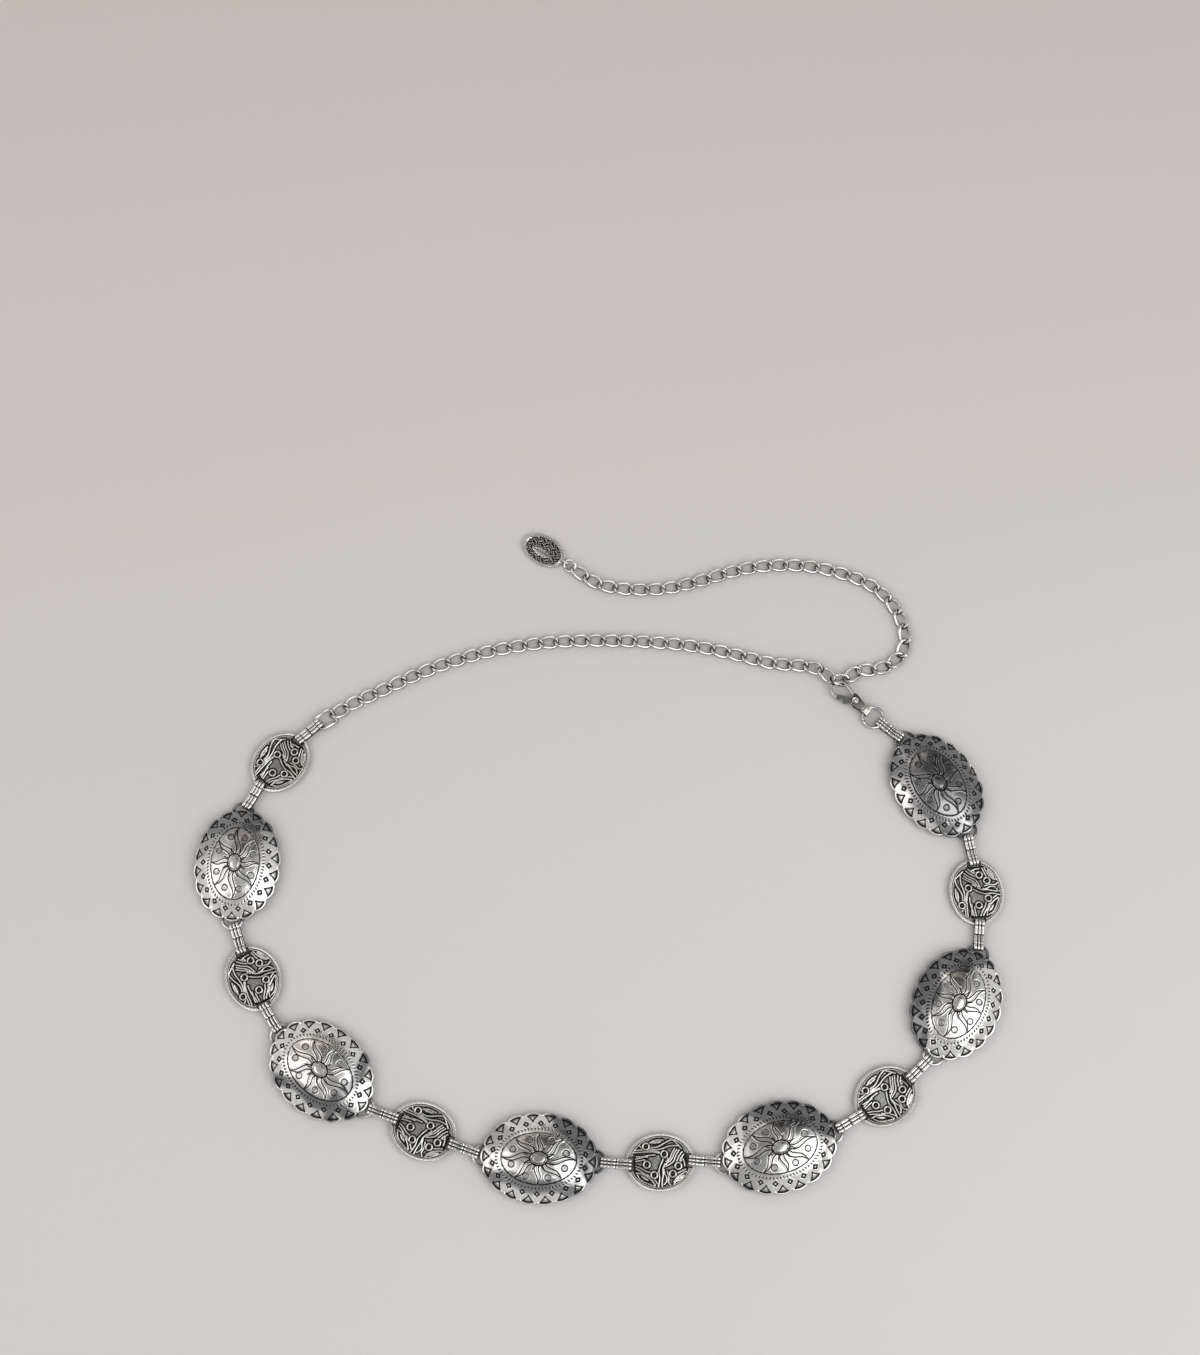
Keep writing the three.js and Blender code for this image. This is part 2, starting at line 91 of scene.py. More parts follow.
def vertexArray(piece, kind="co"):
    values = np.empty(len(piece.data.vertices) * 3)
    piece.data.vertices.foreach_get(kind, values)
    return values.reshape(-1, 3)


def placesOf(piece):
    return vertexArray(piece).T / mm


def setPlaces(piece, x, y, z):
    places = np.stack(np.broadcast_arrays(x, y, z), 1) * mm
    piece.data.vertices.foreach_set("co", places.ravel())
    piece.data.update()


def outwards(piece):
    pick(piece)
    openMesh()
    bpy.ops.mesh.normals_make_consistent(inside=False)
    closeMesh()


def smoothed(piece, angle=180):
    pick(piece)
    if angle < 180:
        bpy.ops.object.shade_smooth_by_angle(angle=math.radians(angle))
    else:
        bpy.ops.object.shade_smooth()


def applyModifiers(piece):
    pick(piece)
    for name in [modifier.name for modifier in piece.modifiers]:
        bpy.ops.object.modifier_apply(modifier=name)


def roundEdges(piece, width, segments=3, angle=35):
    bevel = piece.modifiers.new("round", "BEVEL")
    bevel.width = width * mm
    bevel.segments = segments
    bevel.limit_method = "ANGLE"
    bevel.angle_limit = math.radians(angle)
    applyModifiers(piece)


def carve(piece, other, operation="DIFFERENCE"):
    # cuts the other shape out, or joins it in, and throws it away
    change = piece.modifiers.new("carve", "BOOLEAN")
    change.operation = operation
    change.solver = "EXACT"
    change.object = other
    applyModifiers(piece)
    bpy.data.objects.remove(other)


def joined(name, pieces):
    pick(*pieces)
    if len(pieces) > 1:
        bpy.ops.object.join()
    pieces[0].name = name
    pieces[0].data.name = name
    return pieces[0]


def heading(turn):
    return np.array([math.cos(math.radians(turn)), math.sin(math.radians(turn))])


def spun(x, y, turn):
    cos, sin = heading(turn)
    return np.array([x * cos - y * sin, x * sin + y * cos])


def moved(piece, x, y, z=0, turn=0, tilt=0):
    # the place goes into the vertices, so that the object stays at the origin
    ownX, ownY, ownZ = placesOf(piece)
    ownY, ownZ = spun(ownY, ownZ, tilt)
    ownX, ownY = spun(ownX, ownY, turn)
    setPlaces(piece, ownX + x, ownY + y, ownZ + z)


def standUp(piece, rise, shift=0):
    # what was drawn flat is stood on its edge
    x, y, z = placesOf(piece)
    setPlaces(piece, x + shift, z, y + rise)
    outwards(piece)


def linked(item):
    bpy.context.scene.collection.objects.link(item)
    return item


def copyOf(master, name):
    copy = linked(bpy.data.objects.new(name, master.data.copy()))
    copy.data.name = name
    return copy


def dress(piece, slot, *nodes, body="belt"):
    piece.data.materials.clear()
    piece.data.materials.append(looks[slot])
    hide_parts(*nodes)
    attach(piece, body)


def torus(radius, wire, steps, sides, place=(0, 0, 0)):
    clearSelection()
    bpy.ops.mesh.primitive_torus_add(
        location=[value * mm for value in place], major_radius=radius * mm, minor_radius=wire / 2 * mm,
        major_segments=steps, minor_segments=sides)
    bpy.ops.object.transform_apply(location=True)
    return bpy.context.object


def cylinder(radius, depth, height, sides):
    clearSelection()
    bpy.ops.mesh.primitive_cylinder_add(vertices=sides, radius=radius * mm, depth=depth * mm,
                                        location=(0, 0, height * mm))
    bpy.ops.object.transform_apply(location=True)
    return bpy.context.object


def smoothStep(value, low, high):
    share = np.clip((value - low) / (high - low), 0, 1)
    return share * share * (3 - 2 * share)


def fall(value, low, high):
    return 1 - smoothStep(value, low, high)


def setPatinaAndShade(piece, values, name="patinaAndShade"):
    # a share for each vertex, read by the silver materials: patina and painted shade are black, painted dark
    # reflections a duller metal
    old = piece.data.attributes.get(name)
    if old:
        piece.data.attributes.remove(old)
    patinaAndShade = piece.data.attributes.new(name, "FLOAT", "POINT")
    patinaAndShade.data.foreach_set("value", np.clip(values, 0, 1).astype(np.float32))


def patinaAndShadeOf(piece):
    values = np.empty(len(piece.data.vertices), np.float32)
    piece.data.attributes["patinaAndShade"].data.foreach_get("value", values)
    return values


def sidePaintedShade(piece, strength, low=0.15, high=0.70):
    # painted shade: wires and castings are darkened down their sides, where they turn away from facing up
    side = strength * fall(vertexArray(piece, "normal")[:, 2], low, high)
    setPatinaAndShade(piece, np.maximum(patinaAndShadeOf(piece), side))


def flatTopDarkReflection(piece, strength, top):
    # painted dark reflection: the flat top is made duller than the rounded edges round it
    setPatinaAndShade(piece, strength * (placesOf(piece)[2] > top - 0.02), "paintedDarkReflection")


def hollowTarnishAndShade(piece, strength, ground):
    # tarnish settles where the surface is hollow, and painted shade darkens it there as well
    places, normals = vertexArray(piece), vertexArray(piece, "normal")
    ends = np.empty(len(piece.data.edges) * 2, int)
    piece.data.edges.foreach_get("vertices", ends)
    ends = ends.reshape(-1, 2)
    hollow, count = np.zeros(len(places)), np.zeros(len(places))
    for here, there in (ends.T, ends.T[::-1]):
        along = places[there] - places[here]
        along /= np.linalg.norm(along, axis=1)[:, None] + 1e-12
        np.add.at(hollow, here, (along * normals[here]).sum(1))
        np.add.at(count, here, 1)
    setPatinaAndShade(piece, ground + strength * np.clip(hollow / np.maximum(count, 1), 0, 1))


studio = {
    "cameraPlace": (0.000603, -0.126388, 0.745),
    "cameraTilt": 15.0,
    "lens": 50.0,
    "floorSize": 6.0,
    "floorNear": (0.765, 0.748, 0.742, 1),
    "floorFar": (0.755, 0.70, 0.655, 1),
    "floorFade": (-0.02, 0.45),  # where the near colour starts to turn into the far one
    "floorCloud": 0.10, "floorRough": 0.6,
    "ceiling": 0.34, "walls": 0.60, "wallTop": (0.45, 0.95),
    "unlit": (0.03, 0.03, 0.03, 1),
    "unlitTowards": (0.173, 0.646, 0.743),  # a part of the room up behind the belt
    "unlitEdge": (0.895, 0.94),
}


def addNode(tree, kind, inputs=(), **settings):
    # a shader node, with each input given as a value or as the socket that feeds it
    made = tree.nodes.new("ShaderNode" + kind)
    for name, value in settings.items():
        setattr(made, name, value)
    for name, value in dict(inputs).items():
        if isinstance(value, bpy.types.NodeSocket):
            tree.links.new(value, made.inputs[name])
        else:
            made.inputs[name].default_value = value
    return made.outputs


def noise(tree, place, scale, detail, rough=0.5):
    return addNode(tree, "TexNoise", {"Vector": place, "Scale": scale, "Detail": detail,
                                      "Roughness": rough})["Fac"]


def spread(tree, source, low, high, toLow=0.0, toHigh=1.0, curve="LINEAR"):
    return addNode(tree, "MapRange", {"Value": source, "From Min": low, "From Max": high, "To Min": toLow,
                                      "To Max": toHigh}, interpolation_type=curve)["Result"]


def sums(tree, operation, *values):
    return addNode(tree, "Math", enumerate(values), operation=operation)["Value"]


def blend(tree, factor, first, second):
    return addNode(tree, "Mix", {"Factor": factor, "A": first, "B": second}, data_type="RGBA")["Result"]


camera = linked(bpy.data.objects.new("camera", bpy.data.cameras.new("camera")))
camera.location = studio["cameraPlace"]
camera.rotation_euler = (math.radians(studio["cameraTilt"]), 0, 0)
camera.data.lens = studio["lens"]
camera.data.clip_start = 0.01
bpy.context.scene.camera = camera
bpy.context.scene.view_settings.view_transform = "Standard"

clearSelection()
bpy.ops.mesh.primitive_plane_add(size=studio["floorSize"], location=(0, 0, 0))
table = bpy.context.object
table.name = "table"
openMesh()
bpy.ops.mesh.subdivide(number_cuts=8)
closeMesh()
tableLook = bpy.data.materials.new("tablePaint")
tableLook.use_nodes = True
tree = tableLook.node_tree
spot = addNode(tree, "TexCoord")["Object"]
wave = sums(tree, "MULTIPLY_ADD", noise(tree, spot, 3.0, 2.0), studio["floorCloud"],
            addNode(tree, "SeparateXYZ", {"Vector": spot})["Y"])
fade = spread(tree, wave, *studio["floorFade"], curve="SMOOTHSTEP")
paint = tree.nodes["Principled BSDF"].inputs
tree.links.new(blend(tree, fade, studio["floorNear"], studio["floorFar"]), paint["Base Color"])
paint["Roughness"].default_value = studio["floorRough"]
table.data.materials.append(tableLook)
table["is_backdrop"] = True

lamps = [
    # name, place, where it points, size, power, colour
    ("rightBox", (0.66, -0.40, 0.84), (0.1, -0.1, 0), (0.85, 1.10), 5.4, (0.98, 0.99, 1.0)),
    ("leftBox", (-0.86, -0.20, 0.86), (-0.1, -0.1, 0), (0.70, 0.95), 2.6, (1.0, 0.95, 0.925)),
    ("backFill", (-0.3, 1.15, 1.30), (0, 0.25, 0), (1.3, 0.5), 1.9, (1.0, 0.87, 0.77)),
]
for lampName, place, target, size, power, colour in lamps:
    lamp = bpy.data.lights.new(lampName, "AREA")
    lamp.shape = "RECTANGLE"
    lamp.size, lamp.size_y = size
    lamp.energy = power
    lamp.color = colour
    holder = linked(bpy.data.objects.new(lampName, lamp))
    holder.location = place
    holder.rotation_euler = (Vector(target) - Vector(place)).to_track_quat("-Z", "Y").to_euler()

# the polished metal mirrors a pale room with a darker ceiling and one unlit part
world = bpy.data.worlds.new("studioRoom")
world.use_nodes = True
bpy.context.scene.world = world
tree = world.node_tree
around = addNode(tree, "TexCoord")["Generated"]
height = addNode(tree, "SeparateXYZ", {"Vector": around})["Z"]
towards = addNode(tree, "VectorMath", {0: around, 1: studio["unlitTowards"]}, operation="DOT_PRODUCT")["Value"]
walls = spread(tree, height, *studio["wallTop"], studio["walls"], studio["ceiling"], "SMOOTHSTEP")
unlit = spread(tree, towards, *studio["unlitEdge"], curve="SMOOTHSTEP")
tree.links.new(blend(tree, unlit, walls, studio["unlit"]), tree.nodes["Background"].inputs["Color"])
print("studio ready")


silver = {
    # the second colour is the darker metal of the painted dark reflections
    "black": (0.012, 0.011, 0.011, 1), "paintedDarkReflection": (0.085, 0.087, 0.10, 1),
    "cloudSize": 130.0, "grainSize": 1500.0, "blotchSize": 420.0,
    "blackFrom": (0.05, 0.72), "blackRough": 0.22, "blackMetal": 0.85,
    "scratchDepth": 0.00006,
}


def silverLook(name, bright, tarnish, roughness, scratch):
    # bright metal, a warm tarnish in clouds, a darker metal for the painted dark reflections, and black where
    # the patina attribute says so, which holds patina and painted shade
    look = bpy.data.materials.new(name)
    look.use_nodes = True
    tree = look.node_tree
    surface = tree.nodes["Principled BSDF"].inputs
    place = addNode(tree, "TexCoord")["Object"]
    patinaAndShade = addNode(tree, "Attribute", attribute_name="patinaAndShade")["Fac"]
    paintedDarkReflection = addNode(tree, "Attribute", attribute_name="paintedDarkReflection")["Fac"]
    clouds = noise(tree, place, silver["cloudSize"], 4.0)
    grains = noise(tree, place, silver["grainSize"], 3.0, 0.6)
    blotches = noise(tree, place, silver["blotchSize"], 3.0)
    black = sums(tree, "MULTIPLY", patinaAndShade, spread(tree, grains, 0.3, 0.6, 0.75, 1.15))
    black = spread(tree, black, *silver["blackFrom"])
    metal = blend(tree, spread(tree, clouds, 0.45, 0.7), bright, tarnish)
    metal = blend(tree, paintedDarkReflection, metal, silver["paintedDarkReflection"])
    metal = blend(tree, black, metal, silver["black"])
    rough = sums(tree, "ADD", spread(tree, blotches, 0.35, 0.7, roughness, roughness + 0.10),
                 spread(tree, black, 0, 1, 0.0, silver["blackRough"]))
    ridges = sums(tree, "ADD", grains, sums(tree, "MULTIPLY", blotches, 1.5))
    scratches = addNode(tree, "Bump", {"Strength": scratch, "Distance": silver["scratchDepth"],
                                       "Height": ridges})["Normal"]
    tree.links.new(metal, surface["Base Color"])
    tree.links.new(spread(tree, black, 0, 1, 1.0, silver["blackMetal"]), surface["Metallic"])
    tree.links.new(rough, surface["Roughness"])
    tree.links.new(scratches, surface["Normal"])
    return look


looks = {
    # bright and tarnished colour, roughness, strength of the fine scratches
    "polished_silver": silverLook("polishedSilver", (0.93, 0.92, 0.90, 1), (0.79, 0.76, 0.71, 1), 0.17, 0.25),
    "dark_silver": silverLook("darkSilver", (0.90, 0.89, 0.86, 1), (0.74, 0.70, 0.64, 1), 0.20, 0.30),
    "chain_silver": silverLook("chainSilver", (0.93, 0.92, 0.89, 1), (0.78, 0.74, 0.68, 1), 0.13, 0.14),
    "clasp_silver": silverLook("claspSilver", (0.93, 0.92, 0.89, 1), (0.78, 0.74, 0.68, 1), 0.13, 0.14),
}
print("materials ready")


def ringSheet(name, around, levels):
    # a flat pattern sheet: rings at each (share, layer), the first and last closed to a point
    clearSelection()
    share, layer = levels[0]
    bpy.ops.mesh.primitive_circle_add(vertices=around, radius=share,
                                      location=(0, 0, layer), fill_type="TRIFAN")
    sheet = bpy.context.object
    sheet.name = name
    bpy.ops.object.transform_apply(location=True)
    openMesh()
    bpy.ops.mesh.select_mode(type="EDGE")
    bpy.ops.mesh.region_to_loop()
    for nextShare, nextLayer in levels[1:]:
        bpy.ops.mesh.extrude_edges_move(TRANSFORM_OT_translate={"value": (0, 0, nextLayer - layer)})
        growth = nextShare / share
        if abs(growth - 1) > 1e-9:
            bpy.ops.transform.resize(value=(growth, growth, 1), center_override=(0, 0, nextLayer))
        share, layer = nextShare, nextLayer
    bpy.ops.mesh.merge(type="CENTER")
    closeMesh()
    return sheet


def topRings(*runs):
    # rings on the top face, each run from one share to another in so many steps
    return [(share, 0.0) for run in runs for share in np.linspace(*run)]


def sheetPlaces(sheet):
    x, y, layer = vertexArray(sheet).T
    return np.hypot(x, y), np.arctan2(y, x), np.round(layer, 2)


def distanceToLine(x, y, points):
    best = np.full(x.shape, 1e9)
    for (x0, y0), (x1, y1) in zip(points[:-1], points[1:]):
        dx, dy = x1 - x0, y1 - y0
        along = np.clip(((x - x0) * dx + (y - y0) * dy) / (dx * dx + dy * dy + 1e-12), 0, 1)
        best = np.minimum(best, np.hypot(x - x0 - along * dx, y - y0 - along * dy))
    return best


def ovalGap(x, y, halfLength, halfWidth):
    # distance from an oval line, negative inside it
    share = np.hypot(x / halfLength, y / halfWidth)
    radius = np.where(share < 0.05, halfWidth, np.hypot(x, y) / np.maximum(share, 0.01))
    return (share - 1) * radius


def softened(points, part=0.25, closed=False):
    # cuts the corners of a drawn line twice, so that it curves
    for _ in range(2):
        drawn = points + points[:1] if closed else points
        cut = [(x0 + share * (x1 - x0), y0 + share * (y1 - y0))
               for (x0, y0), (x1, y1) in zip(drawn[:-1], drawn[1:]) for share in (part, 1 - part)]
        points = cut if closed else [points[0]] + cut + [points[-1]]
    return points


def line(distance, width, soft=0.20):
    # 1 on the line, falling softly to 0 beside it
    return fall(distance, width / 2 - soft / 2, width / 2 + soft / 2)


def milledRim(rim, ground, share, turn, z, dark):
    # an inner lip, a black groove, then a rounded band cut into teeth
    lip = np.clip(1 - ((share - rim["lipAt"]) / rim["lipHalf"]) ** 2, 0, 1)
    z = np.maximum(z, ground + rim["lipRise"] * np.sqrt(lip))
    dark = np.where(lip > 0.15, rim["lipBlack"], dark)
    band = smoothStep(share, *rim["bandFrom"])
    gap = 0.5 - 0.5 * np.cos(rim["teeth"] * turn)
    crown = np.clip(1 - ((share - rim["bandAt"]) / rim["bandHalf"]) ** 2, 0, 1)
    top = ground + rim["bandRise"] + rim["crown"] * crown - rim["notch"] * gap
    black = rim["bandBlack"] + rim["gapBlack"] * gap ** rim["gapPower"]
    return z * (1 - band) + top * band, np.where(band > 0, black * band + 0.9 * (1 - band), dark)


concho = {
    "halfLength": 22.5, "halfWidth": 17.25,
    "foot": 1.5, "wall": 1.05,
    "profile": [(0, 8.0), (0.2, 7.85), (0.4, 7.25), (0.62, 5.95), (0.66, 5.6),
                (0.80, 3.95), (0.90, 2.75), (1.0, 1.9)],  # share, height over the foot
    "scallops": 18, "scallopDepth": 1.0, "scallopWidth": 7.0, "evenness": 0.05,
    "around": 432, "meanHalf": 19.5,
    "cut": 0.26,  # depth of the engraving
    # inwards from the edge: the arc, then two sides of a bell, then a small triangle in it
    "bell": {"arcIn": 0.98, "arcHalf": 1.8, "arcWide": 0.58, "top": 1.2, "tall": 2.35, "half": 2.0,
             "bow": 1.45, "sideWide": 0.46, "toothTop": 1.9, "toothTall": 1.2, "toothHalf": 0.78},
    "diamond": {"inX": 4.5, "inY": 4.15, "half": 1.35, "tall": 1.2},
    "dashes": 66, "dashRing": (16.3, 10.9), "dashRound": 86.5, "dashLength": 0.95, "dashWidth": 0.5,
    "oval": (14.4, 9.5),
    "button": (2.55, 1.9), "buttonRim": (3.2, 2.35),
    "rays": 8, "circleRadius": 1.15, "circleRing": (10.9, 7.3), "barbRing": (3.5, 2.7),
    "bailRadius": 3.9, "bailReach": 25.3, "bailWire": 1.2, "bailHeight": 1.8,
    # painted dark reflections on each concho: direction, start from its middle, softness, strength, end
    "paintedDarkReflection": {
        1: [(93, 11.0, 1.0, 0.74, 99), (100, 4.5, 4.0, 0.42, 99)],
        2: [(-118, 8.0, 1.0, 0.80, 12.6), (-35, 10.5, 1.0, 0.74, 14.6)],
        3: [(28, 12.0, 1.2, 0.82, 99), (-100, 7.2, 1.0, 0.72, 12.2), (75, -3.0, 6.0, 0.34, 8.0)],
        4: [(80, 8.0, 1.2, 0.82, 99), (165, 2.0, 7.0, 0.42, 15.0)],
        5: [(98, 12.0, 1.2, 0.80, 99), (163, 8.5, 1.0, 0.86, 99)],
        6: [(40, -3.0, 3.0, 0.80, 15.5), (-140, 0.5, 3.0, 0.70, 12.6)],
    },
}


def conchoHeight(share):
    shares, heights = zip(*concho["profile"])
    fit = np.polyfit(np.square(shares), heights, 4)
    return np.polyval(fit, share * share)


def rayLines():
    # the two engraved edges of each wavy ray, from the button to the oval line
    lines = []
    for number in range(concho["rays"]):
        turn = 2 * math.pi * number / concho["rays"]
        aim = turn + 0.10 * math.sin(2 * turn)
        tip = np.array([math.cos(aim), math.sin(aim)]) * concho["oval"] * 0.985
        base = np.array([math.cos(turn), math.sin(turn)]) * concho["buttonRim"]
        along = tip - base
        reach = np.hypot(*along)
        side = np.array([-along[1], along[0]]) / reach
        for edge in (1.0, -0.85):
            points = []
            for share in np.linspace(0, 1, 15):
                sway = -0.125 * reach * math.sin(2 * math.pi * (0.08 + 0.80 * share)) * (1 - share) ** 0.5
                half = edge * (0.95 * (1 - share) ** 0.9 + 0.35 * math.sin(math.pi * share) ** 2)
                points.append(tuple(base + along * share + side * (sway + half)))
            lines.append(points)
    return lines


def besideRim(x, y, lobe, inX=0, inY=0):
    # how far each point lies across and inwards from a place on the rim, or one inside it
    centre = lobe * 2 * math.pi / concho["scallops"]
    centre = centre + concho["evenness"] * np.sin(2 * centre)
    a, b = concho["halfLength"], concho["halfWidth"]
    outX, outY = np.cos(centre) / a, np.sin(centre) / b
    size = np.hypot(outX, outY)
    outX, outY = outX / size, outY / size
    fromX, fromY = x - (a - inX) * np.cos(centre), y - (b - inY) * np.sin(centre)
    return np.abs(fromY * outX - fromX * outY), -(fromX * outX + fromY * outY)


def engrave(cut, dark, stroke, depth, black, once=False):
    # cuts a stroke in and blackens it, and where asked leaves alone what is cut already
    fresh = 1 - np.clip(cut / concho["cut"], 0, 1) if once else 1
    cut += depth * stroke * fresh
    np.maximum(dark, black * stroke, out=dark)


def conchoRelief(x, y, turn):
    # how far each point is cut down or raised, and its patina
    cut = np.zeros(x.shape)
    dark = np.full(x.shape, 0.05)
    lobe = concho["scallops"] * turn / (2 * math.pi)

    # a bell in each scallop
    bell = concho["bell"]
    across, inward = besideRim(x, y, np.round(lobe))
    arcDepth = bell["arcIn"] + across ** 2 / 12
    arc = line(np.hypot(inward - arcDepth, np.maximum(across - bell["arcHalf"], 0)), bell["arcWide"])
    rest = 1 - np.clip((inward - bell["top"]) / bell["tall"], 0, 1)
    flank = bell["half"] * rest ** bell["bow"]
    steep = 1 / np.hypot(1, bell["half"] * bell["bow"] / bell["tall"] * rest ** (bell["bow"] - 1))
    onFlank = smoothStep(inward, 0.9, 1.1) * fall(inward, 3.5, 3.8)
    sides = line(np.abs(across - flank) * steep, bell["sideWide"], 0.30) * onFlank
    toothEdge = bell["toothHalf"] * (1 - np.clip((inward - bell["toothTop"]) / bell["toothTall"], 0, 1))
    tooth = smoothStep(toothEdge - across, -0.05, 0.2) * smoothStep(inward, 1.75, 1.95)
    inside = smoothStep(flank - across, 0.0, 0.3) * smoothStep(inward, 1.1, 1.4) * (inward < 3.4) * (1 - tooth)
    outline = np.maximum(arc, sides)
    engrave(cut, dark, outline, concho["cut"], 0.97)
    cut += 0.12 * inside * (1 - outline)
    np.maximum(dark, 0.42 * inside, out=dark)

    # a diamond inside each valley
    diamond = concho["diamond"]
    across, inward = besideRim(x, y, np.floor(lobe) + 0.5, diamond["inX"], diamond["inY"])
    away = across / diamond["half"] + np.abs(inward) / diamond["tall"]
    engrave(cut, dark, smoothStep(away, 0.26, 0.46) * fall(away, 0.88, 1.08), concho["cut"], 0.95)
    cut -= 0.10 * fall(np.abs(away - 1.22), 0.05, 0.25)

    # the ring of small pits, and the oval line inside it
    dashX, dashY = concho["dashRing"]
    outness = ovalGap(x, y, dashX, dashY)
    dashTurn = np.arctan2(y / dashY, x / dashX)
    beat = (dashTurn - 0.10 * np.sin(2 * dashTurn)) * concho["dashes"] / (2 * math.pi)
    offBeat = np.abs(beat - np.round(beat)) * concho["dashRound"] / concho["dashes"]
    half = 0.45 * concho["dashWidth"] * np.clip(0.5 + outness / concho["dashLength"], 0.15, 1)
    engrave(cut, dark, fall(offBeat, half, half + 0.2) * fall(np.abs(outness), 0.38, 0.58), 0.24, 0.92)
    fromOval = ovalGap(x, y, *concho["oval"])
    engrave(cut, dark, line(np.abs(fromOval), 0.38), concho["cut"], 0.93)
    cut -= 0.07 * line(np.abs(fromOval + 0.42), 0.35)

    # the sun: wavy rays, barbs and small rings between them, an oval button
    cap = fromOval < 0
    for points in rayLines():
        away = distanceToLine(x, y, points)
        engrave(cut, dark, line(away, 0.34) * cap, 0.24, 0.90, once=True)
        cut -= 0.07 * line(np.abs(away - 0.40), 0.28) * cap
    turns = 2 * math.pi * (np.arange(concho["rays"]) + 0.5) / concho["rays"]
    for between in turns:
        root = np.array([math.cos(between), math.sin(between)]) * concho["barbRing"]
        width = np.array([-root[1], root[0]]) * 0.16
        for start in (root - width, root + width):
            away = distanceToLine(x, y, [start, root * 1.75])
            engrave(cut, dark, line(away, 0.28), 0.20, 0.8, once=True)
    for between in turns - 0.04:
        ringX, ringY = np.array([math.cos(between), math.sin(between)]) * concho["circleRing"]
        away = np.hypot(x - ringX, y - ringY)
        engrave(cut, dark, line(np.abs(away - concho["circleRadius"]), 0.34), 0.20, 0.85)
        np.maximum(dark, 0.30 * fall(away, 0.9, 1.2), out=dark)
        cut += 0.10 * fall(away, 0.5, concho["circleRadius"])
    rimX, rimY = concho["buttonRim"]
    rimShare = np.hypot(x / rimX, y / rimY)
    engrave(cut, dark, fall(np.abs(rimShare - 1.10), 0.04, 0.14), 0.24, 0.85)
    cut -= 0.28 * fall(np.abs(rimShare - 0.94), 0.06, 0.16)
    buttonX, buttonY = concho["button"]
    dome = np.hypot(x / buttonX, y / buttonY)
    cut = np.where(dome < 0.98, -0.22 * np.sqrt(np.clip(1 - dome ** 2, 0, 1)), cut)
    engrave(cut, dark, fall(np.abs(dome - 1.02), 0.03, 0.10), 0.12, 0.7)
    return cut, dark


def scallopInset(turn):
    # circular arcs between sharp valleys
    lobe = concho["scallops"] * turn / (2 * math.pi)
    width, depth = concho["scallopWidth"], concho["scallopDepth"]
    radius = ((width / 2) ** 2 + depth ** 2) / (2 * depth)
    return radius - np.sqrt(radius ** 2 - ((lobe - np.round(lobe)) * width) ** 2)


def conchoBail(side):
    # a half ring of wire, its legs going in under the dome
    centre = side * (concho["bailReach"] - concho["bailRadius"])
    bail = torus(concho["bailRadius"], concho["bailWire"], 48, 14, (centre, 0, concho["bailHeight"]))
    openMesh()
    bpy.ops.mesh.bisect(plane_co=(centre * mm, 0, 0), plane_no=(side, 0, 0), clear_inner=True)
    closeMesh()
    openAt(bail, np.abs(placesOf(bail)[0] - centre) < 1e-3)
    bpy.ops.mesh.select_mode(type="EDGE")
    bpy.ops.mesh.select_non_manifold()
    bpy.ops.mesh.extrude_edges_move(TRANSFORM_OT_translate={"value": (-side * mm, 0, 0)})
    bpy.ops.mesh.fill()
    closeMesh()
    outwards(bail)
    smoothed(bail, 60)
    # painted shade: the bail turns dark where its legs go in under the dome
    under = np.clip((25.0 - np.abs(placesOf(bail)[0])) / 3.5, 0, 1)
    setPatinaAndShade(bail, 0.08 + 0.6 * under ** 2)
    sidePaintedShade(bail, 0.75)
    return bail


def conchoMaster():
    hollow = [(share, -1.0) for share in (0.12, 0.30, 0.48, 0.64, 0.76, 0.86, 0.92)]
    skirt = [(0.93, -0.9), (0.955, -0.8), (1.0, -0.8), (1.0, -0.6), (1.0, -0.4), (1.0, -0.2)]
    sheet = ringSheet("conchoMaster", concho["around"],
                      hollow + skirt + topRings((1.0, 0.75, 32), (0.74, 0.03, 57)))
    share, turn, layer = sheetPlaces(sheet)
    angle = turn + concho["evenness"] * np.sin(2 * turn)
    a, b, foot = concho["halfLength"], concho["halfWidth"], concho["foot"]
    inset = scallopInset(turn) * np.clip((share - 0.78) / 0.22, 0, 1) ** 1.6
    x = (a * share - inset) * np.cos(angle)
    y = (b * share - inset) * np.sin(angle)
    # the scallops are cut out of a smooth dome, so the height goes by the real place
    dome = foot + conchoHeight(np.hypot(x / a, y / b))
    cut, dark = conchoRelief(x, y, turn)
    edge = fall(np.abs((1 - share) * concho["meanHalf"] - 0.32), 0.18, 0.42)
    z = np.where(layer == 0, dome - cut + 0.16 * edge, dome)
    dark = np.where(layer == 0, dark * (1 - 0.8 * edge), 0.35)
    # the skirt goes down to the foot, and the hollow follows the dome inside
    rise = np.clip((layer + 0.8) / 0.8, 0, 1)
    isSkirt = (layer >= -0.8) & (layer < 0) & (share > 0.97)
    z = np.where(isSkirt, foot + (dome + 0.1 - foot) * rise, z)
    swell = 0.12 * np.sin(math.pi * rise) * isSkirt
    z = np.where((layer == -0.8) & (share < 0.97), foot, z)
    z = np.where(layer < -0.85, dome - concho["wall"], z)
    dark = np.where(layer < -0.85, 0.45, dark)
    setPlaces(sheet, x + swell * np.cos(angle), y + swell * np.sin(angle), z)
    setPatinaAndShade(sheet, dark)
    outwards(sheet)
    smoothed(sheet, 50)
    return joined("conchoMaster", [sheet, conchoBail(1), conchoBail(-1)])


